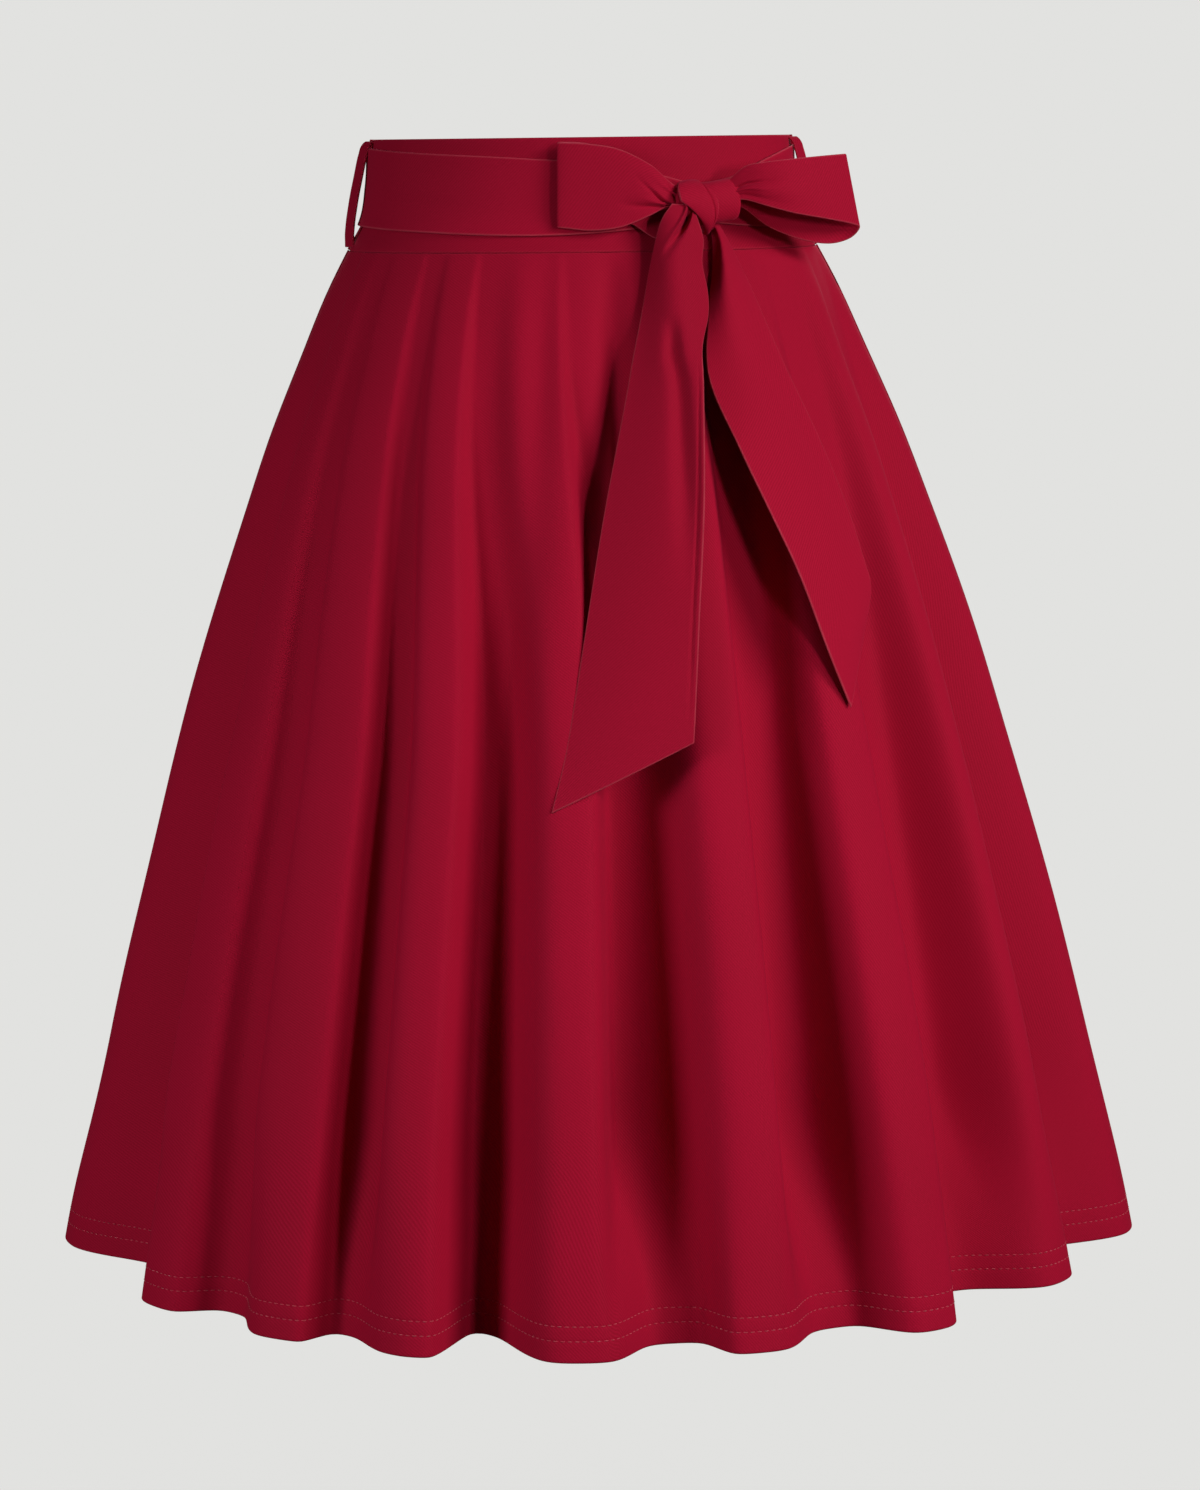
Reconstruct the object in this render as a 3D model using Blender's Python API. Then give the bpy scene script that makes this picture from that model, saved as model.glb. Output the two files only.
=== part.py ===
"""A flared knee-length skirt on a contoured waistband, with side belt loops and a sash tied in a bow.

Metres, +Z up. The origin is the centre of the waist opening, level with the waistband's top edge, so every
piece hangs below it. -Y is the front and +X is the right of someone who looks at the front. Tables give
lengths in millimetres and bearings in degrees: bearing 0 faces the front and 90 faces +X.
"""

import math

import bmesh
import bpy
import numpy as np

MM = 0.001

# Sizes of the cut and of the figure that it is cut for.
WAIST_HALF_WIDTH = 130 * MM
WAIST_HALF_DEPTH = 100 * MM
SKIRT_DROP = 695 * MM
WAISTBAND_DROP = 68 * MM
HEM_DEPTH = 24 * MM
KNOT_BEARING = 23.2
SIDE_BEARING = 90.0

# Thicknesses of the cloth and the clearances between the pieces.
SEAM_GAP = 0.3 * MM
BAND_CLOTH = 2.0 * MM
SKIRT_CLOTH = 1.4 * MM
HEM_CLOTH = 2.4 * MM
SASH_CLOTH = 1.5 * MM
LOOP_CLOTH = 1.5 * MM
KNOT_CLOTH = 2.6 * MM
KNOT_ROOM = 0.45 * MM

# How far the cloth stands outside the waist's line, along its normal, at each drop below the top edge.
OUTLINE_COLUMNS = ("drop", "out")
OUTLINE = (
    (0, 0.0),
    (28, 1.4),
    (50, 5.6),
    (68, 15.6),
    (88, 26.2),
    (132, 45.8),
    (181, 67.0),
    (231, 85.5),
    (306, 111.7),
    (381, 134.3),
    (457, 155.4),
    (533, 174.7),
    (610, 192.6),
    (661, 203.9),
    (695, 210.5),
)

# The share of its depth at the hem that each fold has at each drop.
SWELL_COLUMNS = ("drop", "share")
SWELL = (
    (68, 0.015),
    (88, 0.06),
    (132, 0.17),
    (231, 0.40),
    (381, 0.66),
    (533, 0.87),
    (695, 1.0),
)

# The folds at the hem, one row each: a crest, and the valley that follows it. A half width is that of the
# rounded top or bottom, and an out is measured from the waist's line.
FOLD_COLUMNS = ("crest", "crest_half", "crest_out", "valley", "valley_half", "valley_out")
FOLDS = (
    (-87.5, 4.0, 210, -65.0, 4.5, 158),
    (-50.7, 3.2, 202, -41.8, 2.0, 178),
    (-31.0, 3.0, 207, -26.0, 1.2, 182),
    (-17.2, 2.6, 213, -12.3, 1.3, 156),
    (-1.2, 2.8, 214, 7.8, 2.4, 178),
    (15.0, 2.6, 210, 24.8, 2.4, 177),
    (33.4, 2.8, 213, 44.5, 2.8, 156),
    (58.3, 3.4, 200, 69.5, 3.0, 158),
    (87.0, 3.8, 215, 99.0, 3.6, 165),
    (110.0, 3.4, 206, 120.5, 3.2, 162),
    (131.0, 3.0, 211, 140.0, 2.6, 172),
    (149.5, 2.8, 208, 158.0, 2.4, 176),
    (166.0, 2.4, 212, 173.5, 2.2, 170),
    (181.0, 2.8, 213, 191.0, 2.6, 168),
    (199.0, 2.6, 207, 207.5, 2.2, 178),
    (216.0, 3.0, 212, 226.5, 2.6, 164),
    (237.0, 3.2, 208, 247.5, 3.4, 166),
    (257.5, 3.4, 206, 265.0, 2.4, 176),
)
FOLD_ROUNDING = 0.07
FOLD_STEPS = 1440
FOLD_SOFTENING = 5

# The sash lies round the waistband. Its top and bottom edges by bearing, as drops.
SASH_COLUMNS = ("bearing", "top", "bottom", "stand_off")
SASH = (
    (-180, 7.0, 56.0, 0.8),
    (-90, 5.0, 52.5, 0.8),
    (-40, 8.5, 55.5, 1.0),
    (-10, 12.5, 58.0, 1.2),
    (8, 17.0, 55.5, 1.4),
    (18, 24.0, 52.0, 1.4),
    (25, 28.0, 51.0, 1.4),
    (33, 26.0, 53.0, 1.2),
    (50, 15.0, 55.0, 1.0),
    (90, 6.0, 54.0, 0.8),
    (180, 7.0, 56.0, 0.8),
)

# A belt loop stands off the waistband at each side: its outer face by drop.
BELT_LOOP_BEARING = 80.0
BELT_LOOP_WIDTH = 9 * MM
BELT_LOOP_COLUMNS = ("drop", "stand_off")
BELT_LOOP = (
    (0.8, 1.8),
    (1.8, 3.2),
    (3.8, 4.8),
    (8.5, 6.4),
    (20.0, 8.8),
    (30.0, 10.1),
    (40.0, 10.8),
    (50.0, 9.8),
    (58.0, 6.6),
    (63.0, 3.6),
    (66.0, 1.8),
)

# The knot: a wrap of the sash round a core of folded cloth.
KNOT_DROP = 42.5 * MM
KNOT_STAND_OFF = 16.2 * MM
WRAP_LEAN = 19.0
WRAP_HALF_HEIGHT = 16.6 * MM
WRAP_HALF_DEPTH = 11.8 * MM
WRAP_WIDTH = 21 * MM
WRAP_END_WIDTH = 12 * MM
WRAP_CUP = 0.10
CORE_COLUMNS = ("along", "half_height", "half_depth", "rise")
CORE = (
    (-16.5, 4.6, 4.4, 4.5),
    (-14.0, 7.0, 6.0, 4.0),
    (-6.0, 11.6, 8.4, 2.0),
    (3.0, 12.6, 8.8, 2.0),
    (12.0, 12.0, 8.4, 2.6),
    (19.0, 11.0, 7.6, 3.0),
    (24.0, 8.6, 5.6, 3.0),
)

# Ribbons: the two edges of each at its stations, how far its middle bulges, and the depth of its gathers.
BOW_GATHERS = 2
RIBBON_COLUMNS = ("top_x", "top_y", "top_z", "bottom_x", "bottom_y", "bottom_z", "bulge", "gather")
LEFT_BOW_LOOP = (
    (67, -103.0, -33, 67, -103.5, -42, 0.0, 0.0),
    (57, -104.0, -29, 57, -104.5, -42, 0.0, 0.2),
    (44, -106.0, -21, 45, -106.5, -46, 0.0, 0.8),
    (24, -107.5, -9, 26, -111.0, -54, 0.0, 0.0),
    (4, -108.0, -4, 5, -112.5, -56, 0.0, 0.0),
    (-8, -109.0, -3, -8, -113.5, -54.5, 0.0, 0.0),
    (-13.5, -114.5, -3, -14, -118.0, -53.5, 0.0, 0.0),
    (-8.5, -120.5, -3, -8.5, -123.0, -54, 0.3, 0.0),
    (5, -124.5, -4, 6, -126.5, -55.5, 1.2, 0.0),
    (23, -125.5, -8.5, 24, -127.5, -53.5, 2.6, 0.7),
    (42, -121.5, -21, 42, -122.5, -47, 2.5, 1.2),
    (55, -115.5, -30, 54, -115.5, -42, 0.8, 0.3),
    (67, -110.0, -33, 67, -110.0, -41, 0.0, 0.0),
)
RIGHT_BOW_LOOP = (
    (86, -101.0, -32, 86, -102.0, -39, 0.0, 0.0),
    (98, -104.0, -27, 98, -104.5, -41, 0.8, 0.3),
    (110, -105.5, -20.5, 111, -107.0, -44.5, 1.5, 1.0),
    (125, -102.0, -15, 128, -105.0, -48.5, 2.0, 0.7),
    (142, -92.5, -12, 148, -95.0, -52.5, 1.0, 0.0),
    (157, -81.0, -11.5, 163, -81.5, -55.5, 0.0, 0.0),
    (160.5, -74.0, -12, 169, -73.0, -58, 0.0, 0.0),
    (156, -70.0, -14, 163, -67.5, -63, 0.0, 0.0),
    (146, -72.5, -17.5, 150, -68.5, -66, 0.0, 0.0),
    (130, -79.0, -20.5, 133, -76.0, -64.5, 0.0, 0.3),
    (112, -87.5, -25.5, 113, -85.0, -56.5, 0.0, 0.8),
    (97, -93.5, -31.5, 97, -92.5, -46.5, 0.0, 0.3),
    (86, -96.0, -35.5, 86, -95.5, -44, 0.0, 0.0),
)

# Tails hang over the skirt: edges by x and drop, with how far each stands off the fold crests.
TAIL_COLUMNS = ("left_x", "left_drop", "left_off", "right_x", "right_drop", "right_off", "cup")
LEFT_TAIL = (
    (57, 40, 25, 70, 38, 24, 0.0),
    (51, 47, 26, 68, 47, 26, 1.0),
    (46, 57, 21, 71.5, 60, 21, 4.0),
    (41.0, 76, 14, 73.5, 80, 15, 6.0),
    (37.5, 96, 11, 75, 97, 13, 5.0),
    (32.0, 120, 10, 74.5, 116, 12, 3.0),
    (24.5, 154, 9, 72.5, 150, 12, 1.0),
    (10.5, 222, 8, 70.0, 211, 13, 1.5),
    (-2.5, 296, 7, 66.0, 280, 12, 2.0),
    (-12.5, 352, 6, 63.5, 325, 10, 1.0),
    (-21.5, 388, 5, 62.0, 349, 8, 0.0),
)
RIGHT_TAIL = (
    (74, 51, 7.5, 80, 48, 7.5, 0.0),
    (74, 60, 6.5, 85.0, 60, 6.5, 0.5),
    (73.0, 78, 4.5, 91.5, 76, 6, 1.0),
    (72.0, 104, 4.0, 101, 96, 6, 1.5),
    (74.5, 142, 10, 119.5, 134, 5, 2.0),
    (92.0, 183, 18, 142, 182, 4, 2.0),
    (109, 219, 22, 157.5, 221, 3, 1.5),
    (126, 256, 22, 167, 252, 3, 1.0),
    (143, 302, 14, 171, 270, 3, 0.5),
    (156.5, 336, 5, 166, 294, 3, 0.0),
)

CLOTH_COLOUR = (0.33, 0.004, 0.022, 1.0)
BAND_COLOUR = (0.30, 0.004, 0.020, 1.0)
SASH_COLOUR = (0.36, 0.006, 0.026, 1.0)
CLOTH_ROUGHNESS = 0.8


def clear_scene():
    for item in list(bpy.data.objects):
        bpy.data.objects.remove(item)


def column(table, names, name):
    """One named column of a table."""
    return np.array([row[names.index(name)] for row in table], float)


def through(xs, ys, x, natural=False):
    """A smooth curve through (xs, ys), read at x. It never overshoots a point, unless natural is set."""
    xs, ys = np.asarray(xs, float), np.asarray(ys, float)
    steps = np.diff(xs)
    slopes = np.diff(ys) / steps
    tangents = np.empty(len(xs))
    tangents[0], tangents[-1] = slopes[0], slopes[-1]
    tangents[1:-1] = (slopes[:-1] * steps[1:] + slopes[1:] * steps[:-1]) / (steps[1:] + steps[:-1])
    if not natural:
        before, after = slopes[:-1], slopes[1:]
        flat = before * after <= 0
        limit = 3 * np.minimum(np.abs(before), np.abs(after))
        tangents[1:-1] = np.where(flat, 0, np.clip(tangents[1:-1], -limit, limit))
    cell = np.clip(np.searchsorted(xs, x, "right") - 1, 0, len(steps) - 1)
    part = (x - xs[cell]) / steps[cell]
    lift = tangents[cell] * steps[cell]
    drop = tangents[cell + 1] * steps[cell]
    return (
        ys[cell] * (1 + 2 * part) * (1 - part) ** 2
        + lift * part * (1 - part) ** 2
        + ys[cell + 1] * part**2 * (3 - 2 * part)
        + drop * part**2 * (part - 1)
    )


def outline(drop):
    """How far the fold crests stand outside the waist's line at a drop."""
    drops = column(OUTLINE, OUTLINE_COLUMNS, "drop") * MM
    outs = column(OUTLINE, OUTLINE_COLUMNS, "out") * MM
    return through(drops, outs, np.asarray(drop, float))


def swell(drop):
    """The share of a fold's hem depth that it has at a drop."""
    drops = column(SWELL, SWELL_COLUMNS, "drop") * MM
    shares = column(SWELL, SWELL_COLUMNS, "share")
    return through(drops, shares, np.clip(drop, drops[0], drops[-1]))


def hem_wave():
    """Bearings round the hem, and how deep each lies inside the fold crests there."""
    bearings, outs = [], []
    for crest, crest_half, crest_out, valley, valley_half, valley_out in FOLDS:
        dome = (crest_out - valley_out) * FOLD_ROUNDING
        bearings += [crest - crest_half, crest, crest + crest_half]
        outs += [crest_out - dome, crest_out, crest_out - dome]
        bearings += [valley - valley_half, valley, valley + valley_half]
        outs += [valley_out + dome, valley_out, valley_out + dome]
    bearings, outs = np.array(bearings), np.array(outs) * MM
    bearings = np.concatenate([bearings - 360, bearings, bearings + 360])
    outs = np.concatenate([outs, outs, outs])
    around = np.arange(FOLD_STEPS) * 360 / FOLD_STEPS - 180
    depth = outline(SKIRT_DROP) - through(bearings, outs, around)
    for _ in range(FOLD_SOFTENING):
        depth = (np.roll(depth, 1) + 2 * depth + np.roll(depth, -1)) / 4
    return around, depth


WAVE_BEARINGS, WAVE_DEPTHS = hem_wave()


def fold_depth(bearing):
    """How deep the cloth lies inside the crests, at the hem, at a bearing."""
    return np.interp((np.asarray(bearing) + 180) % 360 - 180, WAVE_BEARINGS, WAVE_DEPTHS, period=360)


def around_waist(bearing, out, drop):
    """The point that stands a distance out from the waist's line, along its normal at a bearing."""
    angle = np.radians(bearing)
    east, front = np.sin(angle), np.cos(angle)
    reach = np.hypot(WAIST_HALF_WIDTH * east, WAIST_HALF_DEPTH * front)
    x = WAIST_HALF_WIDTH**2 * east / reach + out * east
    y = -(WAIST_HALF_DEPTH**2) * front / reach - out * front
    return np.stack(np.broadcast_arrays(x, y, -np.asarray(drop)), axis=-1)


def front_y(x, drop, stand_off):
    """The y of a point in front of the fold crests at x and a drop."""
    bearings = np.linspace(-89, 89, 179)
    line = around_waist(bearings, outline(drop) + stand_off, drop)
    return np.interp(x, line[:, 0], line[:, 1])


def material(name, colour):
    made = bpy.data.materials.new(name)
    made.use_nodes = True
    shader = made.node_tree.nodes["Principled BSDF"]
    shader.inputs["Base Color"].default_value = colour
    shader.inputs["Roughness"].default_value = CLOTH_ROUGHNESS
    made.diffuse_color = colour
    return made


def grid_normals(points, closed):
    """Unit normals of a grid of points, facing out where rows run down and columns run towards +X."""
    if closed:
        across = np.roll(points, -1, axis=1) - np.roll(points, 1, axis=1)
    else:
        across = np.gradient(points, axis=1)
    down = np.gradient(points, axis=0)
    normals = np.cross(down, across)
    return normals / np.linalg.norm(normals, axis=2, keepdims=True)


def level_steps(points, closed):
    """The level step inwards that makes a wall of one unit's thickness, kept in the plane of each side seam."""
    normals = grid_normals(points, closed)
    if not closed:
        normals[:, [0, -1], 1] = 0
        normals /= np.linalg.norm(normals, axis=2, keepdims=True)
    normals[:, :, 2] = 0
    return normals / (normals**2).sum(axis=2, keepdims=True)


def wall(name, outer, thickness, colour, closed=False, level=False):
    """A cloth wall: the outer points, and the same points moved in by the thickness, sewn round the rim."""
    rows, columns = outer.shape[:2]
    thick = np.broadcast_to(np.asarray(thickness, float).reshape(-1, 1, 1), (rows, 1, 1))
    steps = level_steps(outer, closed) if level else grid_normals(outer, closed)
    inner = outer - steps * thick
    mesh = bmesh.new()
    shell = [[[mesh.verts.new(p) for p in row] for row in side] for side in (outer, inner)]
    pairs = [(c, (c + 1) % columns) for c in range(columns if closed else columns - 1)]
    for side, flip in zip(shell, (False, True)):
        for upper, lower in zip(side[:-1], side[1:]):
            for a, b in pairs:
                corners = [upper[a], lower[a], lower[b], upper[b]]
                mesh.faces.new(corners[::-1] if flip else corners)
    front, back = shell
    for a, b in pairs:
        mesh.faces.new([front[0][a], front[0][b], back[0][b], back[0][a]])
        mesh.faces.new([front[-1][b], front[-1][a], back[-1][a], back[-1][b]])
    if not closed:
        for r in range(rows - 1):
            mesh.faces.new([front[r + 1][0], front[r][0], back[r][0], back[r + 1][0]])
            mesh.faces.new([front[r][-1], front[r + 1][-1], back[r + 1][-1], back[r][-1]])
    return finish(name, mesh, colour)


def finish(name, mesh, colour):
    data = bpy.data.meshes.new(name)
    mesh.normal_update()
    mesh.to_mesh(data)
    mesh.free()
    data.shade_smooth()
    data.set_sharp_from_angle(angle=math.radians(50))
    made = bpy.data.objects.new(name, data)
    bpy.context.scene.collection.objects.link(made)
    data.materials.append(colour)
    return made


def cut(piece, cutter):
    """Takes a helper's shape out of a piece."""
    modifier = piece.modifiers.new("room for " + cutter.name, "BOOLEAN")
    modifier.operation = "DIFFERENCE"
    modifier.object = cutter
    cutter.hide_render = True
    cutter.display_type = "WIRE"


def even_bearings(low, high, count):
    """Bearings from low to high that are evenly spaced along the hem's wavy edge."""
    fine = np.linspace(low, high, FOLD_STEPS)
    hem = around_waist(fine, outline(SKIRT_DROP) - fold_depth(fine), SKIRT_DROP)
    run = np.concatenate([[0], np.cumsum(np.linalg.norm(np.diff(hem, axis=0), axis=1))])
    return np.interp(np.linspace(0, run[-1], count), run, fine)


def open_seams(outer):
    """Moves the two seam edges of a panel off the middle plane by half the clearance."""
    outer[:, [0, -1], 1] = math.copysign(SEAM_GAP / 2, outer[0, outer.shape[1] // 2, 1])


def skirt_panel(name, low, high, columns, colour):
    """A flared panel, with its hem turned up to a double layer inside."""
    top = WAISTBAND_DROP + SEAM_GAP
    turned = SKIRT_DROP - HEM_DEPTH
    drops = np.array([top, 82 * MM, 105 * MM, 150 * MM, 210 * MM, 290 * MM, 380 * MM, 475 * MM, 575 * MM])
    drops = np.concatenate([drops, [turned - 1 * MM, turned, SKIRT_DROP]])
    bearings = even_bearings(low, high, columns)
    outer = np.array(
        [around_waist(bearings, outline(d) - fold_depth(bearings) * swell(d), d) for d in drops]
    )
    open_seams(outer)
    thickness = np.where(drops < turned - 0.5 * MM, SKIRT_CLOTH, HEM_CLOTH)
    return wall(name, outer, thickness, colour, level=True)


def waistband(name, low, high, colour):
    """Half of the contoured waistband, from its top edge to the waist seam."""
    drops = np.append(np.array([0, 22, 36, 46, 54, 61]) * MM, WAISTBAND_DROP)
    bearings = np.linspace(low, high, 37)
    outer = np.array([around_waist(bearings, outline(d), d) for d in drops])
    open_seams(outer)
    return wall(name, outer, BAND_CLOTH, colour, level=True)


def sash_round_waist(colour):
    """The stretch of the sash that lies round the waistband, a ring that narrows behind the knot."""
    bearings = np.linspace(-180, 180, 72, endpoint=False)
    table_bearings = column(SASH, SASH_COLUMNS, "bearing")
    top, bottom, stand_off = (
        through(table_bearings, column(SASH, SASH_COLUMNS, name) * MM, bearings)
        for name in ("top", "bottom", "stand_off")
    )
    rows = []
    for share in np.linspace(0, 1, 6):
        drop = top + (bottom - top) * share
        rows.append(around_waist(bearings, outline(drop) + stand_off + SASH_CLOTH, drop))
    return wall("sash_waist", np.array(rows), SASH_CLOTH, colour, closed=True, level=True)


def belt_loop(name, bearing, colour):
    """A narrow carrier, sewn to the waistband at both ends and arched over the sash."""
    drops = column(BELT_LOOP, BELT_LOOP_COLUMNS, "drop") * MM
    stand_offs = column(BELT_LOOP, BELT_LOOP_COLUMNS, "stand_off") * MM
    drop = np.interp(np.linspace(0, 1, 19), np.linspace(0, 1, len(drops)), drops)
    stand_off = through(drops, stand_offs, drop)
    angle = math.radians(bearing)
    along = np.array([math.cos(angle), math.sin(angle), 0])
    middle = around_waist(bearing, outline(drop) + stand_off, drop)
    outer = np.array([[p + along * BELT_LOOP_WIDTH * side for side in (-0.5, 0, 0.5)] for p in middle])
    return wall(name, outer, LOOP_CLOTH, colour)


def knot_frame():
    """The knot's centre, and its unit directions along the waist, out of it and up."""
    angle = math.radians(KNOT_BEARING)
    along = np.array([math.cos(angle), math.sin(angle), 0])
    out = np.array([math.sin(angle), -math.cos(angle), 0])
    centre = around_waist(KNOT_BEARING, outline(KNOT_DROP) + KNOT_STAND_OFF, KNOT_DROP)
    return centre, along, out, np.array([0.0, 0.0, 1.0])


def wrap_rings(growth=0.0):
    """Rings of points along the wrap that closes the knot, which leans."""
    centre, along, out, up = knot_frame()
    lean = math.radians(WRAP_LEAN)
    axis = along * math.cos(lean) + up * math.sin(lean)
    side = up * math.cos(lean) - along * math.sin(lean)
    turns = np.radians(np.arange(28) * 360 / 28)
    half_width = (WRAP_END_WIDTH + (WRAP_WIDTH - WRAP_END_WIDTH) * np.abs(np.sin(turns))) / 2 + 2 * growth
    rings = []
    for share in np.linspace(1, -1, 7):
        shrink = 1 - WRAP_CUP * share**2
        height = WRAP_HALF_HEIGHT * shrink + growth
        depth = WRAP_HALF_DEPTH * shrink + growth
        rings.append(
            [
                centre + axis * (reach * share) + side * (height * math.cos(t)) + out * (depth * math.sin(t))
                for t, reach in zip(turns, half_width)
            ]
        )
    return np.array(rings)


def core_rings(growth=0.0):
    """Rings of points along the folded cloth inside the knot."""
    centre, along, out, up = knot_frame()
    stations = column(CORE, CORE_COLUMNS, "along") * MM
    spots = np.linspace(stations[-1], stations[0], 13)
    height, depth, rise = (
        through(stations, column(CORE, CORE_COLUMNS, name) * MM, spots)
        for name in ("half_height", "half_depth", "rise")
    )
    reach = 1 + 2 * growth / (stations[-1] - stations[0])
    turns = np.radians(np.arange(20) * 18)
    rings = []
    for spot, h, d, lift in zip(spots, height, depth, rise):
        middle = centre + along * (spot * reach) + up * lift
        rings.append(
            [middle + up * ((h + growth) * math.cos(t)) + out * ((d + growth) * math.sin(t)) for t in turns]
        )
    return np.array(rings)


def filled(name, rings, colour):
    """A solid whose skin runs through rings of points, with a flat face at each end."""
    mesh = bmesh.new()
    made = [[mesh.verts.new(p) for p in ring] for ring in rings]
    count = len(made[0])
    for first, second in zip(made[:-1], made[1:]):
        for i in range(count):
            j = (i + 1) % count
            mesh.faces.new([first[i], first[j], second[j], second[i]])
    mesh.faces.new(made[0][::-1])
    mesh.faces.new(made[-1])
    bmesh.ops.recalc_face_normals(mesh, faces=mesh.faces)
    return finish(name, mesh, colour)


def bow_loop(name, table, colour):
    """A loop of the bow, from the knot out to its end and back in front."""
    stations = np.arange(len(table), dtype=float)
    fine = np.linspace(0, stations[-1], 31)
    edges = {
        label: through(stations, column(table, RIBBON_COLUMNS, label) * MM, fine, natural=True)
        for label in RIBBON_COLUMNS
    }
    top = np.stack([edges["top_x"], edges["top_y"], edges["top_z"]], axis=-1)
    bottom = np.stack([edges["bottom_x"], edges["bottom_y"], edges["bottom_z"]], axis=-1)
    shares = np.linspace(0, 1, 9)[:, None]
    flat = top[None] * (1 - shares[:, :, None]) + bottom[None] * shares[:, :, None]
    lift = edges["bulge"] * np.sin(np.pi * shares) + edges["gather"] * np.sin(2 * np.pi * BOW_GATHERS * shares)
    return wall(name, flat + grid_normals(flat, False) * lift[:, :, None], SASH_CLOTH, colour)


def tail(name, table, colour):
    """A hanging end of the sash, laid over the skirt's folds and cut slanting at its end."""
    stations = np.arange(len(table), dtype=float)
    fine = np.linspace(0, stations[-1], 25)
    edge = {
        label: through(stations, column(table, TAIL_COLUMNS, label) * MM, fine, natural=True)
        for label in TAIL_COLUMNS
    }
    rows = []
    for i in range(len(fine)):
        row = []
        for share in np.linspace(0, 1, 9):
            x = edge["left_x"][i] * (1 - share) + edge["right_x"][i] * share
            drop = edge["left_drop"][i] * (1 - share) + edge["right_drop"][i] * share
            off = edge["left_off"][i] * (1 - share) + edge["right_off"][i] * share
            off += edge["cup"][i] * math.sin(math.pi * share)
            row.append((x, front_y(x, drop, off), -drop))
        rows.append(row)
    return wall(name, np.array(rows), SASH_CLOTH, colour)


def main():
    clear_scene()
    cloth = material("skirt cloth", CLOTH_COLOUR)
    band = material("waistband cloth", BAND_COLOUR)
    sash = material("sash cloth", SASH_COLOUR)
    skirt_panel("skirt_front", -SIDE_BEARING, SIDE_BEARING, 84, cloth)
    skirt_panel("skirt_back", SIDE_BEARING, 360 - SIDE_BEARING, 80, cloth)
    waistband("waistband_front", -SIDE_BEARING, SIDE_BEARING, band)
    waistband("waistband_back", SIDE_BEARING, 360 - SIDE_BEARING, band)
    belt_loop("belt_loop_left", -BELT_LOOP_BEARING, band)
    belt_loop("belt_loop_right", BELT_LOOP_BEARING, band)
    sash_round_waist(sash)
    wall("knot_wrap", wrap_rings(), KNOT_CLOTH, sash, closed=True)
    core = filled("knot_core", core_rings(), sash)
    sleeve = wall("wrap_sleeve", wrap_rings(KNOT_ROOM), KNOT_CLOTH + 2 * KNOT_ROOM, sash, closed=True)
    cut(core, sleeve)
    wrap_room = filled("wrap_room", wrap_rings(KNOT_ROOM), sash)
    core_room = filled("core_room", core_rings(KNOT_ROOM), sash)
    for piece in (
        bow_loop("bow_loop_left", LEFT_BOW_LOOP, sash),
        bow_loop("bow_loop_right", RIGHT_BOW_LOOP, sash),
        tail("tail_left", LEFT_TAIL, sash),
        tail("tail_right", RIGHT_TAIL, sash),
    ):
        cut(piece, core_room)
        cut(piece, wrap_room)


main()
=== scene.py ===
"""A flared knee-length skirt on a contoured waistband, with side belt loops and a sash tied in a bow.

Metres, +Z up. The origin is the centre of the waist opening, level with the waistband's top edge. -Y is the
front and +X is the right of someone who looks at the front. Tables give lengths in millimetres and bearings in
degrees: bearing 0 faces the front and 90 faces +X. Every cloth is a thin shell, woven, creased and hemmed by
code, on the form of the solid that it stands for.
"""

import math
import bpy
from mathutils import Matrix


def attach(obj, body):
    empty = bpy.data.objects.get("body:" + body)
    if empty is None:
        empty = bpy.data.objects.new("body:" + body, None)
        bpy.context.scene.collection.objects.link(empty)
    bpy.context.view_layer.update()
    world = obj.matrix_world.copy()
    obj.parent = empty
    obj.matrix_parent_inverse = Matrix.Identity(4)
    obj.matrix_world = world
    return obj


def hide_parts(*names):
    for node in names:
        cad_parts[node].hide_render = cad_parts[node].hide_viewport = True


bl_info = {
    "name": "Flared Skirt with a Tied Sash",
    "version": (1, 0, 0),
    "blender": (4, 5, 0),
    "location": "3D View > Sidebar > Skirt",
    "description": "Sews a flared skirt, its waistband, belt loops, sash and bow, and sets them on a pale stage",
    "category": "Object",
}

import bpy
import numpy as np
from bpy.props import FloatProperty, FloatVectorProperty, PointerProperty
from mathutils import Matrix, Vector

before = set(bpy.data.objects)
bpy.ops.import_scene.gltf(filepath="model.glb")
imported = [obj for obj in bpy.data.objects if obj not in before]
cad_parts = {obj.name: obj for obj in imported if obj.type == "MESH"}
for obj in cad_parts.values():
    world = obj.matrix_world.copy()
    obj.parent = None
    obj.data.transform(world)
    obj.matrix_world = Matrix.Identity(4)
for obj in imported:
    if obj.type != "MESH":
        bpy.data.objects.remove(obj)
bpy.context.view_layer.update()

MM = 0.001
WEAVE_MAP = "cloth"
EDGE_MAP = "edge"

# Sizes of the cut and of the figure that it is cut for.
WAIST_HALF_WIDTH = 130 * MM
WAIST_HALF_DEPTH = 100 * MM
SKIRT_DROP = 695 * MM
WAISTBAND_DROP = 68 * MM
HEM_DEPTH = 24 * MM
KNOT_BEARING = 23.2
SIDE_BEARING = 90.0
HEM_ROWS = (12.2 * MM, 20.4 * MM)

# Thicknesses of the cloth and the clearances between the pieces.
SEAM_GAP = 0.3 * MM
BAND_CLOTH = 2.0 * MM
SKIRT_CLOTH = 1.4 * MM
HEM_CLOTH = 2.4 * MM
SASH_CLOTH = 1.5 * MM
LOOP_CLOTH = 1.5 * MM
KNOT_CLOTH = 2.6 * MM

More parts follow.
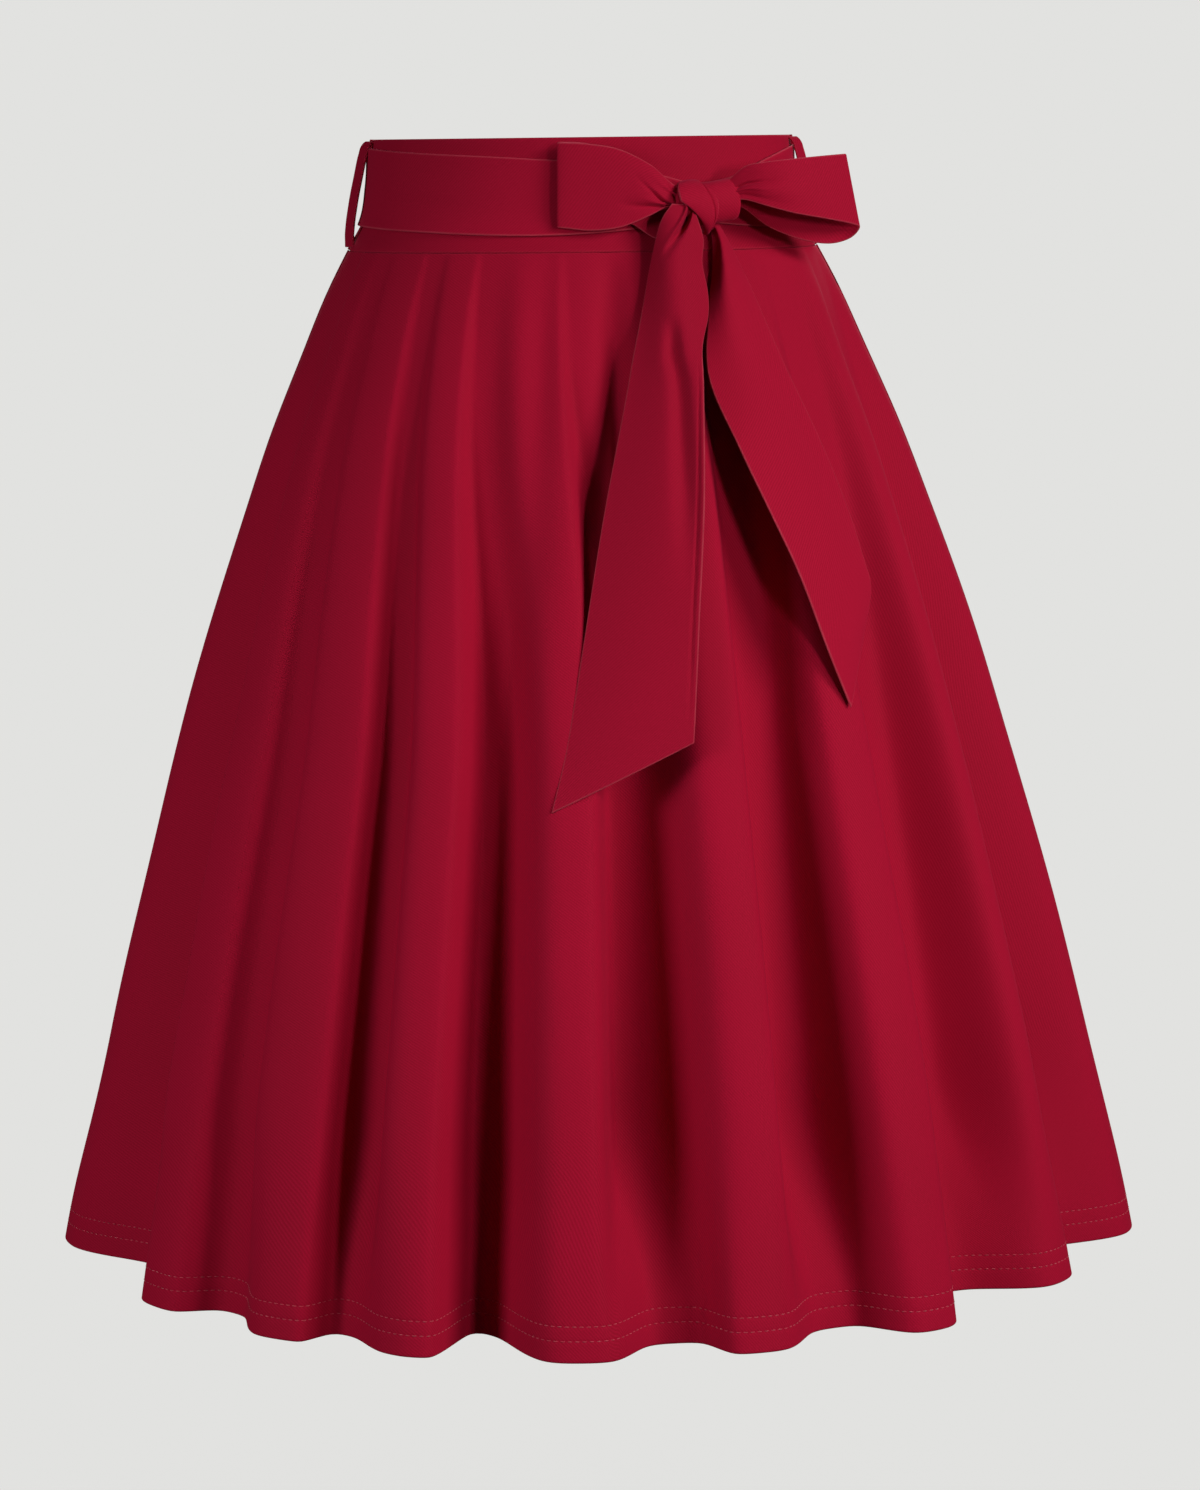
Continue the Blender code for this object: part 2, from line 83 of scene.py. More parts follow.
# How far the cloth stands outside the waist's line, along its normal, at each drop below the top edge.
OUTLINE_COLUMNS = ("drop", "out")
OUTLINE = (
    (0, 0.0),
    (28, 1.4),
    (50, 5.6),
    (68, 15.6),
    (88, 26.2),
    (132, 45.8),
    (181, 67.0),
    (231, 85.5),
    (306, 111.7),
    (381, 134.3),
    (457, 155.4),
    (533, 174.7),
    (610, 192.6),
    (661, 203.9),
    (695, 210.5),
)

# The share of its full depth that each fold has at each drop.
SWELL_COLUMNS = ("drop", "share")
SWELL = (
    (68, 0.015),
    (88, 0.05),
    (132, 0.13),
    (231, 0.34),
    (381, 0.66),
    (533, 0.89),
    (620, 1.0),
    (655, 0.99),
    (695, 0.90),
)

# The folds, one row each: a crest's bearing, half width and distance out from the waist's line, and the same for
# the valley that follows it. A half width is that of the rounded top or bottom. The first table shapes the body of
# the skirt, at its full swell, and the second its hem, where some front folds have wandered sideways or opened.
FOLDS = (
    (-87.5, 4.0, 206, -65.0, 4.5, 152),
    (-52.5, 4.2, 199, -42.5, 2.0, 181),
    (-32.6, 4.6, 206, -24.8, 2.0, 173),
    (-17.4, 3.2, 213, -11.8, 2.2, 161),
    (-1.8, 3.0, 214, 4.5, 2.6, 149),
    (15.6, 2.8, 211, 23.6, 3.0, 151),
    (33.6, 3.4, 213, 46.5, 4.8, 145),
    (59.0, 2.6, 201, 71.0, 4.4, 142),
    (88.0, 3.6, 214, 99.0, 3.6, 165),
    (110.0, 3.4, 206, 120.5, 3.2, 162),
    (131.0, 3.0, 211, 140.0, 2.6, 172),
    (149.5, 2.8, 208, 158.0, 2.4, 176),
    (166.0, 2.4, 212, 173.5, 2.2, 170),
    (181.0, 2.8, 213, 191.0, 2.6, 168),
    (199.0, 2.6, 207, 207.5, 2.2, 178),
    (216.0, 3.0, 212, 226.5, 2.6, 164),
    (237.0, 3.2, 208, 247.5, 3.4, 166),
    (257.5, 3.4, 206, 265.0, 2.4, 176),
)
HEM_FRONT_FOLDS = (
    (-87.5, 4.0, 210, -65.0, 4.5, 158),
    (-50.7, 3.2, 202, -41.8, 2.0, 178),
    (-31.0, 3.0, 207, -26.0, 1.2, 182),
    (-16.6, 2.6, 213, -12.0, 1.3, 156),
    (-1.2, 2.8, 214, 7.8, 2.4, 178),
    (15.0, 2.6, 210, 24.8, 2.4, 177),
    (33.4, 2.8, 213, 44.5, 2.8, 156),
    (58.3, 3.4, 200, 69.5, 3.0, 158),
    (87.0, 3.8, 215, 99.0, 3.6, 165),
)
HEM_FOLDS = HEM_FRONT_FOLDS + FOLDS[len(HEM_FRONT_FOLDS) :]
# The drops between which the folds pass from the first shape to the second.
HEM_BLEND = (560 * MM, 692 * MM)
FOLD_ROUNDING = 0.07
FOLD_STEPS = 5760
FOLD_SOFTENING = 80

# Above the hips the folds of the left half lean towards the left, by this many degrees at the waist seam.
LEAN = 6.0
LEAN_DROP = 380 * MM
LEAN_START, LEAN_FULL, LEAN_FADING, LEAN_END = -85.0, -45.0, -12.0, 22.0

# The sash lies round the waistband. Its top and bottom edges by bearing, as drops.
SASH_COLUMNS = ("bearing", "top", "bottom", "stand_off")
SASH = (
    (-180, 7.0, 56.0, 0.8),
    (-90, 5.0, 52.5, 2.0),
    (-40, 8.5, 55.5, 1.0),
    (-10, 12.5, 58.0, 1.2),
    (8, 17.0, 55.5, 1.4),
    (18, 24.0, 52.0, 1.4),
    (25, 28.0, 51.0, 1.4),
    (33, 26.0, 53.0, 1.2),
    (50, 15.0, 55.0, 1.0),
    (90, 6.0, 54.0, 0.8),
    (180, 7.0, 56.0, 0.8),
)

# A belt loop stands off the waistband at each side: its outer face by drop.
BELT_LOOP_BEARING = 80.0
BELT_LOOP_WIDTH = 9 * MM
BELT_LOOP_TURN = 29.0
BELT_LOOP_COLUMNS = ("drop", "stand_off")
BELT_LOOP = (
    (0.8, 1.8),
    (1.8, 3.2),
    (3.8, 4.8),
    (8.5, 6.4),
    (20.0, 8.8),
    (30.0, 10.1),
    (40.0, 10.8),
    (50.0, 9.8),
    (58.0, 6.6),
    (63.0, 3.6),
    (66.0, 1.8),
)

# The knot: a wrap of the sash round a core of folded cloth.
KNOT_DROP = 42.5 * MM
KNOT_STAND_OFF = 16.2 * MM
WRAP_HALF_HEIGHT = 16.6 * MM
WRAP_HALF_DEPTH = 11.8 * MM
WRAP_WIDTH = 24 * MM
WRAP_CUP = 0.12
WRAP_COLUMNS = ("turn", "left", "right")
WRAP = (
    (-90, -9.0, 6.0),
    (-45, -13.0, 4.5),
    (0, -15.0, 3.5),
    (45, -17.5, 5.5),
    (72, -17.0, 8.2),
    (92, -11.0, 8.6),
    (118, -4.5, 8.0),
    (146, -0.6, 6.2),
    (180, 1.6, 6.0),
    (225, -3.0, 6.0),
    (270, -9.0, 6.0),
)
# A pleat lies along the wrap's right edge, behind a narrow groove.
PLEAT_SHARE = 0.80
GROOVE_SHARE = 0.035
GROOVE_DEPTH = 1.5 * MM
PLEAT_STEP = 0.9 * MM
CORE_COLUMNS = ("along", "half_height", "half_depth", "rise")
CORE = (
    (-16.5, 4.6, 4.4, 4.5),
    (-14.0, 7.0, 6.0, 4.0),
    (-6.0, 11.6, 8.4, 2.0),
    (3.0, 12.6, 8.8, 2.0),
    (12.0, 12.7, 8.8, 3.2),
    (19.0, 12.6, 8.4, 4.2),
    (22.6, 11.4, 8.0, 3.8),
    (23.8, 10.2, 7.2, 3.4),
    (24.4, 6.5, 5.0, 3.0),
)

# Ribbons: the two edges of each at its stations, how far its middle bulges, and the depth of its gathers.
BOW_GATHERS = 2
RIBBON_COLUMNS = ("top_x", "top_y", "top_z", "bottom_x", "bottom_y", "bottom_z", "bulge", "gather")
LEFT_BOW_LOOP = (
    (67, -103.0, -36, 67, -105.5, -46, 0.0, 0.0),
    (57, -103.0, -33, 57, -105.5, -56, 0.0, 0.2),
    (44, -102.8, -23, 45, -108.6, -61, 0.0, 0.4),
    (24, -104.6, -9.5, 26, -110.3, -51, 0.0, 0.0),
    (4, -104.8, -4, 5, -111.6, -55, 0.0, 0.0),
    (-8, -104.8, -3, -8, -111.6, -54.5, 0.0, 0.0),
    (-14, -106.5, -3, -14.5, -113.2, -53.5, 0.0, 0.0),
    (-9, -108.6, -3, -9, -115.2, -54, 0.2, 0.0),
    (5, -110.8, -4, 6, -117.2, -55.5, 0.6, 0.0),
    (23, -112.4, -7.3, 24, -118.8, -53.5, 1.4, 0.1),
    (42, -113.6, -16.8, 42, -118.0, -46.5, 2.4, 0.2),
    (55, -112.5, -28.3, 54, -113.8, -41, 1.0, 0.0),
    (67, -110.0, -33, 67, -110.0, -41, 0.0, 0.0),
)
RIGHT_BOW_LOOP = (
    (86, -100.0, -28.5, 86, -102.0, -39, 0.0, 0.0),
    (98, -103.0, -18.4, 98, -104.5, -38.6, 1.4, 0.2),
    (110, -104.5, -15.8, 111, -107.0, -42.2, 2.2, 0.4),
    (125, -102.0, -14.3, 128, -105.0, -46.8, 2.0, 0.2),
    (142, -92.5, -13.0, 148, -95.0, -50.6, 1.0, 0.0),
    (157, -81.0, -12.0, 163, -81.5, -53.8, 0.0, 0.0),
    (160.5, -74.0, -12, 169, -73.0, -56.6, 0.0, 0.0),
    (156, -70.0, -14, 163, -67.5, -63, 0.0, 0.0),
    (146, -72.5, -17.5, 150, -68.5, -66, 0.0, 0.0),
    (130, -79.0, -20.5, 133, -76.0, -63.2, 0.0, 0.3),
    (112, -87.5, -25.5, 113, -85.0, -55.0, 0.0, 0.6),
    (97, -93.5, -31.5, 97, -92.5, -43.2, 0.0, 0.3),
    (86, -96.0, -35.5, 86, -95.5, -41, 0.0, 0.0),
)

# Tails hang over the skirt: edges by x and drop, with how far each stands off the fold crests.
TAIL_COLUMNS = ("left_x", "left_drop", "left_off", "right_x", "right_drop", "right_off", "cup", "ridge")
LEFT_TAIL = (
    (54, 40, 25, 66, 40, 24, 0.0, 0.50),
    (48, 48, 23, 70, 50, 24, 3.0, 0.48),
    (44.5, 58, 17, 73, 62, 21, 7.0, 0.45),
    (40.5, 75, 9, 72, 75, 17, 12.0, 0.45),
    (37.0, 92, 6, 75, 92, 15, 13.0, 0.50),
    (33.5, 110, 4.5, 75, 106, 15, 12.0, 0.56),
    (29.0, 131, 3, 71, 124, 21, 7.0, 0.62),
    (24.5, 154, 2.5, 71, 148, 26, 3.0, 0.62),
    (10.5, 222, 2, 70, 211, 28, 1.5, 0.60),
    (-2.5, 296, 2, 66, 280, 23, 1.0, 0.50),
    (-12.5, 352, 2, 63.5, 325, 16, 1.0, 0.50),
    (-21.5, 388, 2.5, 62, 349, 12, 0.0, 0.50),
)
RIGHT_TAIL = (
    (75, 51, 6.5, 80, 48, 7.5, 0.0, 0.60),
    (78, 60, 0.8, 87, 60, 6.5, 9.0, 0.50),
    (78.0, 78, 0.6, 95, 76, 5, 12.0, 0.46),
    (75.0, 104, 2.5, 104, 96, 4, 9.0, 0.50),
    (74.5, 142, 8, 120, 134, 4, 4.5, 0.55),
    (92.0, 183, 16, 142, 182, 4, 2.5, 0.55),
    (109, 219, 20, 157.5, 221, 3, 2.0, 0.50),
    (126, 256, 20, 167, 252, 3, 1.5, 0.50),
    (143, 302, 13, 171, 270, 3, 0.8, 0.50),
    (156.5, 336, 5, 166, 294, 3, 0.0, 0.50),
)

# Creases pressed into a cloth, as lines from one place on it to another. Lengths along the cloth are in
# its own stations, across it in shares of its width. Columns: from along, from across, to along, to across, width,
# depth and hold. A negative depth makes a trough. A hold of 1 keeps a crease deep where it starts, as a gather
# does, and a hold of 0 fades it at both ends.
LEFT_LOOP_CREASES = (
    (10.75, 0.86, 9.30, 0.25, 0.050, -3.6, 1),
    (10.60, 0.92, 8.60, 0.65, 0.045, -3.0, 1),
    (11.25, 0.75, 10.60, 0.15, 0.090, -2.0, 1),
    (11.00, 0.42, 9.50, 0.14, 0.090, 1.2, 1),
    (10.60, 0.88, 9.10, 0.52, 0.050, 1.1, 1),
)
RIGHT_LOOP_CREASES = (
    (0.5, 0.58, 3.4, 0.36, 0.055, -2.4, 1),
    (0.5, 0.71, 2.6, 0.60, 0.035, 1.0, 1),
    (0.5, 0.84, 3.0, 0.85, 0.050, -1.0, 1),
    (11.3, 0.84, 9.1, 0.73, 0.050, -1.3, 1),
)
LEFT_TAIL_CREASES = (
    (0.5, 0.80, 3.0, 0.18, 0.070, -12.0, 1),
    (0.4, 0.66, 3.2, 0.04, 0.060, 2.4, 1),
    (4.6, 0.42, 8.9, 0.92, 0.110, -5.5, 0),
    (6.2, 0.93, 10.6, 0.95, 0.014, -1.3, 0),
)
RIGHT_TAIL_CREASES = (
    (0.6, 0.22, 3.2, 0.12, 0.120, -3.0, 1),
    (2.6, 0.80, 6.5, 0.86, 0.080, -0.8, 0),
)
# Along the skirt, these run by drop in mm and by bearing.
PANEL_CREASES = (
    (50, 5.0, 330, 6.5, 2.6, -9.0, 0),
    (40, -6.5, 340, -7.5, 3.2, -5.0, 0),
)
SASH_CREASES = ((-84, 0.60, -20, 0.66, 0.09, -0.5, 0),)

# The two halves of the skirt: side, first bearing, and its panel's flat size and area.
PANELS = (
    ("front", -SIDE_BEARING, (1.21, 0.73), 0.57),
    ("back", SIDE_BEARING, (1.28, 0.75), 0.61),
)
# Soft cloth is never quite even: how deep its slow waves are and how long. They start below the waist seam.
SKIRT_UNEVENNESS = (0.8 * MM, 0.11)
BAND_UNEVENNESS = (0.3 * MM, 0.05)
SEAM_EASE = 60 * MM
# Each row of hem stitches pulls the cloth in.
STITCH_DENT_WIDTH = 0.9 * MM
STITCH_DENT_DEPTH = 0.25 * MM

# Every cloth's tone, sheen, relief of its weave, cloudiness of its dye and the painted highlight along its edges.
FINISHES = (
    ("skirt cloth", 1.0, 0.08, 0.45, 0.30, 0.10),
    ("skirt cloth wrong side", 0.75, 0.10, 0.55, 0.35, 0.10),
    ("waistband cloth", 0.96, 0.08, 0.45, 0.22, 0.12),
    ("sash cloth", 1.05, 0.14, 0.60, 0.20, 0.60),
    # A darker copy of the sash cloth: painted shade for the left tail, which faces away from the light.
    ("sash cloth with painted shade", 0.92, 0.14, 0.60, 0.20, 0.60),
)


def column(table, names, name):
    """One named column of a table."""
    return np.array([row[names.index(name)] for row in table], float)


def through(xs, ys, x, natural=False):
    """A smooth curve through (xs, ys), read at x. It never overshoots a point, unless natural is set."""
    xs, ys = np.asarray(xs, float), np.asarray(ys, float)
    steps = np.diff(xs)
    slopes = np.diff(ys) / steps
    tangents = np.empty(len(xs))
    tangents[0], tangents[-1] = slopes[0], slopes[-1]
    tangents[1:-1] = (slopes[:-1] * steps[1:] + slopes[1:] * steps[:-1]) / (steps[1:] + steps[:-1])
    if not natural:
        before, after = slopes[:-1], slopes[1:]
        flat = before * after <= 0
        limit = 3 * np.minimum(np.abs(before), np.abs(after))
        tangents[1:-1] = np.where(flat, 0, np.clip(tangents[1:-1], -limit, limit))
    cell = np.clip(np.searchsorted(xs, x, "right") - 1, 0, len(steps) - 1)
    part = (x - xs[cell]) / steps[cell]
    lift = tangents[cell] * steps[cell]
    drop = tangents[cell + 1] * steps[cell]
    return (
        ys[cell] * (1 + 2 * part) * (1 - part) ** 2
        + lift * part * (1 - part) ** 2
        + ys[cell + 1] * part**2 * (3 - 2 * part)
        + drop * part**2 * (part - 1)
    )


def curves(table, names, at, unit=1):
    """A table's later columns, in metres, as smooth curves over its first one, read at some places."""
    first = column(table, names, names[0]) * unit
    return [through(first, column(table, names, name) * MM, at) for name in names[1:]]


def by_station(table, names, steps):
    """Every column of a table, in metres, as a loose curve over its row numbers."""
    stations = np.arange(len(table), dtype=float)
    return {name: through(stations, column(table, names, name) * MM, steps, natural=True) for name in names}


def outline(drop):
    """How far the fold crests stand outside the waist's line at a drop."""
    return curves(OUTLINE, OUTLINE_COLUMNS, np.asarray(drop, float), MM)[0]


def swell(drop):
    """The share of its full depth that a fold has at a drop."""
    drops = column(SWELL, SWELL_COLUMNS, "drop") * MM
    shares = column(SWELL, SWELL_COLUMNS, "share")
    return through(drops, shares, np.clip(drop, drops[0], drops[-1]))


def wave(folds):
    """How deep each of many bearings lies inside the fold crests, for a table of folds."""
    bearings, outs = [], []
    for crest, crest_half, crest_out, valley, valley_half, valley_out in folds:
        dome = (crest_out - valley_out) * FOLD_ROUNDING
        bearings += [crest - crest_half, crest, crest + crest_half]
        outs += [crest_out - dome, crest_out, crest_out - dome]
        bearings += [valley - valley_half, valley, valley + valley_half]
        outs += [valley_out + dome, valley_out, valley_out + dome]
    bearings, outs = np.array(bearings), np.array(outs) * MM
    bearings = np.concatenate([bearings - 360, bearings, bearings + 360])
    outs = np.concatenate([outs, outs, outs])
    depth = outline(SKIRT_DROP) - through(bearings, outs, WAVE_BEARINGS)
    for _ in range(FOLD_SOFTENING):
        depth = (np.roll(depth, 1) + 2 * depth + np.roll(depth, -1)) / 4
    return depth


WAVE_BEARINGS = np.arange(FOLD_STEPS) * 360 / FOLD_STEPS - 180
BODY_WAVE = wave(FOLDS)
HEM_WAVE = wave(HEM_FOLDS)


def fold_depth(bearing, drop):
    """How deep the cloth lies inside the crests at a bearing and a drop."""
    around = (np.asarray(bearing) + 180) % 360 - 180
    body, hem = (np.interp(around, WAVE_BEARINGS, depths, period=360) for depths in (BODY_WAVE, HEM_WAVE))
    share = smooth((drop - HEM_BLEND[0]) / (HEM_BLEND[1] - HEM_BLEND[0]))
    return swell(drop) * body * (1 - share) + hem * share


def lean(bearing, drop):
    """How far round the folds have moved at a bearing and a drop, from where they are at the hem."""
    begun = smooth((bearing - LEAN_START) / (LEAN_FULL - LEAN_START))
    unfinished = smooth((LEAN_END - bearing) / (LEAN_END - LEAN_FADING))
    above = smooth((LEAN_DROP - drop) / (LEAN_DROP - WAISTBAND_DROP))
    return LEAN * begun * unfinished * above


def around_waist(bearing, out, drop):
    """The point that stands a distance out from the waist's line, along its normal at a bearing."""
    angle = np.radians(bearing)
    east, front = np.sin(angle), np.cos(angle)
    reach = np.hypot(WAIST_HALF_WIDTH * east, WAIST_HALF_DEPTH * front)
    x = WAIST_HALF_WIDTH**2 * east / reach + out * east
    y = -(WAIST_HALF_DEPTH**2) * front / reach - out * front
    return np.stack(np.broadcast_arrays(x, y, -np.asarray(drop)), axis=-1)


def front_y(x, drop, stand_off):
    """The y of a point in front of the fold crests at x and a drop."""
    bearings = np.linspace(-89, 89, 179)
    line = around_waist(bearings, outline(drop) + stand_off, drop)
    return np.interp(x, line[:, 0], line[:, 1])


def smooth(x):
    """A step from 0 to 1 that starts and ends level."""
    x = np.clip(x, 0, 1)
    return x * x * (3 - 2 * x)


def lengths_along(points, axis):
    """The length of cloth from the first row or column to each one, at every point."""
    steps = np.linalg.norm(np.diff(points, axis=axis), axis=2)
    start = np.zeros_like(np.take(steps, [0], axis=axis))
    return np.concatenate([start, np.cumsum(steps, axis=axis)], axis=axis)


def with_lips(low, high, length, count, radius):
    """Places from low to high with more of them near each end, for the cloth's rounded lips."""
    near = np.array([0, 0.07, 0.25, 0.55, 1.0]) * radius / length
    shares = np.concatenate([near, np.linspace(near[-1], 1 - near[-1], count)[1:-1], 1 - near[::-1]])
    return low + (high - low) * shares


def creased(along, across, table):
    """How far a table's creases lift the cloth at places along and across it."""
    lift = np.zeros(np.broadcast(along, across).shape)
    for from_along, from_across, to_along, to_across, width, depth, hold in table:
        run = (along - from_along) / (to_along - from_along)
        centre = from_across + (to_across - from_across) * run
        spread = width * (0.7 + 0.6 * np.clip(run, 0, 1)) if hold else width
        fade = (1 - smooth(run)) * (run > -0.5) if hold else smooth(3 * run) * smooth(3 * (1 - run))
        lift += depth * MM * fade * np.exp(-(((across - centre) / spread) ** 2))
    return lift


def soft_unevenness(points, depth, length):
    """Slow rises and falls of soft cloth, as a sum of waves that run in several directions."""
    directions = ((1.0, 0.3, 0.4), (-0.4, 0.9, 0.7), (0.6, -0.7, 0.9), (0.9, 0.8, -0.5))
    total = 0
    for turn, direction in enumerate(directions):
        pace = 2 * math.pi / (length * (1 + 0.37 * turn))
        total = total + np.sin(points @ (np.array(direction) * pace) + 1.7 * turn)
    return depth * total / len(directions)


def grid_normals(points, closed):
    """Unit normals of a grid of points, facing out where rows run down and columns run towards +X."""
    if closed:
        across = np.roll(points, -1, axis=1) - np.roll(points, 1, axis=1)
    else:
        across = np.gradient(points, axis=1)
    down = np.gradient(points, axis=0)
    normals = np.cross(down, across)
    return normals / np.linalg.norm(normals, axis=2, keepdims=True)


def kept_in_seams(normals):
    """The same normals, turned into the plane of each side seam at the panel's two side edges."""
    normals[:, [0, -1], 1] = 0
    return normals / np.linalg.norm(normals, axis=2, keepdims=True)


def from_edges(points, closed):
    """How far each point is along the cloth from every open edge."""
    down = lengths_along(points, 0)
    away = [down, down[-1:] - down]
    if not closed:
        side = lengths_along(points, 1)
        away += [side, side[:, -1:] - side]
    return away


def lip(away, thickness):
    """The share of the cloth's thickness at each point, which falls off round its lips."""
    share = 1
    for distance in away:
        inside = 1 - np.clip(2 * distance / thickness, 0, 1)
        share = share * np.sqrt(np.clip(1 - inside**2, 0.04, 1))
    return share


def quads(index):
    """Faces between the rows and columns of a grid of point numbers."""
    corners = [index[:-1, :-1], index[1:, :-1], index[1:, 1:], index[:-1, 1:]]
    return np.stack(corners, axis=-1).reshape(-1, 4)


def placed(name, data):
    """A new object in the scene."""
    made = bpy.data.objects.new(name, data)
    bpy.context.scene.collection.objects.link(made)
    return made


def smooth_piece(name, points, faces, materials):
    """A new object with smooth faces."""
    mesh = bpy.data.meshes.new(name)
    mesh.from_pydata(points.tolist(), [], faces)
    mesh.shade_smooth()
    for made in materials:
        mesh.materials.append(made)
    return placed(name, mesh)


def woven_piece(name, points, faces, places, edge_distances, materials):
    """A piece whose face corners know their places on the weave, and its points how far they are from an edge."""
    piece = smooth_piece(name, points, faces, materials)
    weave = piece.data.uv_layers.new(name=WEAVE_MAP)
    weave.uv.foreach_set("vector", places.astype(np.float32).ravel())
    edge = piece.data.attributes.new(EDGE_MAP, "FLOAT", "POINT")
    edge.data.foreach_set("value", edge_distances.astype(np.float32))
    return piece


def numbered(rows, columns, closed):
    """The numbers of a grid's points, and of its places on the weave, which it doesn't share where it closes."""
    index = np.arange(rows * columns).reshape(rows, columns)
    if closed:
        index = np.concatenate([index, index[:, :1]], axis=1)
    return index, np.arange(index.size).reshape(index.shape)


def sew(name, outer, inner, places, edge_distances, closed, materials):
    """A closed shell between an outer and an inner grid of points. Its second material is that of its inner side."""
    rows, columns = outer.shape[:2]
    index, spots = numbered(rows, columns, closed)
    behind = rows * columns

    def rim(line, spot_line):
        edges = ((line, line + behind), (spot_line, spot_line))
        return [np.stack([out[:-1], out[1:], back[1:], back[:-1]], axis=-1) for out, back in edges]

    sides = [
        (quads(index), quads(spots)),
        (quads(index)[:, ::-1] + behind, quads(spots)[:, ::-1]),
        rim(index[0], spots[0]),
        rim(index[-1][::-1], spots[-1][::-1]),
    ]
    if not closed:
        sides += [rim(index[::-1, 0], spots[::-1, 0]), rim(index[:, -1], spots[:, -1])]
    faces, corners = (np.concatenate(parts) for parts in zip(*sides))
    points = np.concatenate([outer.reshape(-1, 3), inner.reshape(-1, 3)])
    places = places.reshape(-1, 2)[corners.ravel()]
    piece = woven_piece(name, points, faces.tolist(), places, np.tile(edge_distances.ravel(), 2), materials)
    if len(materials) > 1:
        count = len(sides[0][0])
        side_of = np.zeros(len(faces), np.int32)
        side_of[count : 2 * count] = 1
        piece.data.polygons.foreach_set("material_index", side_of)
    return piece


def shell(name, outer, thickness, materials, closed=False, in_seams=False, places=None):
    """A cloth shell inwards from its outer points, with rounded lips at its open edges."""
    normals = grid_normals(outer, closed)
    if in_seams:
        normals = kept_in_seams(normals)
    thickness = np.broadcast_to(thickness, outer.shape[:2])
    away = from_edges(outer, closed)
    half = (thickness / 2)[..., None]
    middle = outer - normals * half
    rise = normals * half * lip(away, thickness)[..., None]
    if places is None:
        places = flat_places(outer, closed)
    return sew(name, middle + rise, middle - rise, places, np.minimum.reduce(away), closed, materials)


def flat_places(outer, closed):
    """Places on the weave for a strip: the lengths of cloth along it and down it."""
    points = np.concatenate([outer, outer[:, :1]], axis=1) if closed else outer
    middle = len(points) // 2
    along = np.broadcast_to(lengths_along(points, 1)[middle], points.shape[:2])
    down = np.broadcast_to(lengths_along(points, 0).mean(axis=1, keepdims=True), points.shape[:2])
    return np.stack([along, down], axis=-1)


def even_bearings(low, high, count):
    """Bearings from low to high that are evenly spaced along the hem's wavy edge."""
    fine = np.linspace(low, high, FOLD_STEPS)
    hem = around_waist(fine, outline(SKIRT_DROP) - fold_depth(fine, SKIRT_DROP), SKIRT_DROP)
    run = np.concatenate([[0], np.cumsum(np.linalg.norm(np.diff(hem, axis=0), axis=1))])
    shares = with_lips(0, 1, run[-1], count, HEM_CLOTH)
    return np.interp(shares * run[-1], run, fine)


def open_seams(outer):
    """Moves the two seam edges of a panel off the middle plane by half the clearance."""
    outer[:, [0, -1], 1] = math.copysign(SEAM_GAP / 2, outer[0, outer.shape[1] // 2, 1])


# ---- materials ----


def new_group(name, inputs, outputs):
    """An empty shader node group with the named sockets."""
    group = bpy.data.node_groups.new(name, "ShaderNodeTree")
    for label, kind, default in inputs:
        socket = group.interface.new_socket(name=label, in_out="INPUT", socket_type=kind)
        if default is not None:
            socket.default_value = default
    for label, kind in outputs:
        group.interface.new_socket(name=label, in_out="OUTPUT", socket_type=kind)
    return group, group.nodes.new("NodeGroupInput").outputs, group.nodes.new("NodeGroupOutput").inputs


def feed(tree, node, inputs):
    """Links a node's inputs to other sockets, or gives them values."""
    for key, value in inputs.items():
        if isinstance(value, bpy.types.NodeSocket):
            tree.links.new(value, node.inputs[key])
        else:
            node.inputs[key].default_value = value


def put(tree, kind, inputs=None, **settings):
    """A node with its settings and inputs."""
    node = tree.nodes.new(kind)
    for key, value in settings.items():
        setattr(node, key, value)
    feed(tree, node, inputs or {})
    return node


def sums(tree, operation, *operands):
    """What a math node makes of sockets or numbers."""
    return put(tree, "ShaderNodeMath", dict(enumerate(operands)), operation=operation).outputs[0]


def noise(tree, place, scale, detail, roughness=0.5):
    """Cloudy values between 0 and 1."""
    inputs = {"Vector": place, "Scale": scale, "Detail": detail, "Roughness": roughness}
    return put(tree, "ShaderNodeTexNoise", inputs).outputs["Fac"]


def mixed(tree, factor, first, second):
    """A colour that passes from the first to the second as the factor rises."""
    inputs = {"Factor": factor, "A": first, "B": second}
    return put(tree, "ShaderNodeMix", inputs, data_type="RGBA").outputs["Result"]


def ramped(tree, value, low, high):
    """A value turned into a smooth step from 0 at low to 1 at high."""
    inputs = {"Value": value, "From Min": low, "From Max": high}
    return put(tree, "ShaderNodeMapRange", inputs, interpolation_type="SMOOTHSTEP").outputs["Result"]


def waves(tree, turns):
    """A wave between 0 and 1 that repeats at every whole turn."""
    wave_height = sums(tree, "SINE", sums(tree, "MULTIPLY", turns, 2 * math.pi))
    return sums(tree, "MULTIPLY_ADD", wave_height, 0.5, 0.5)


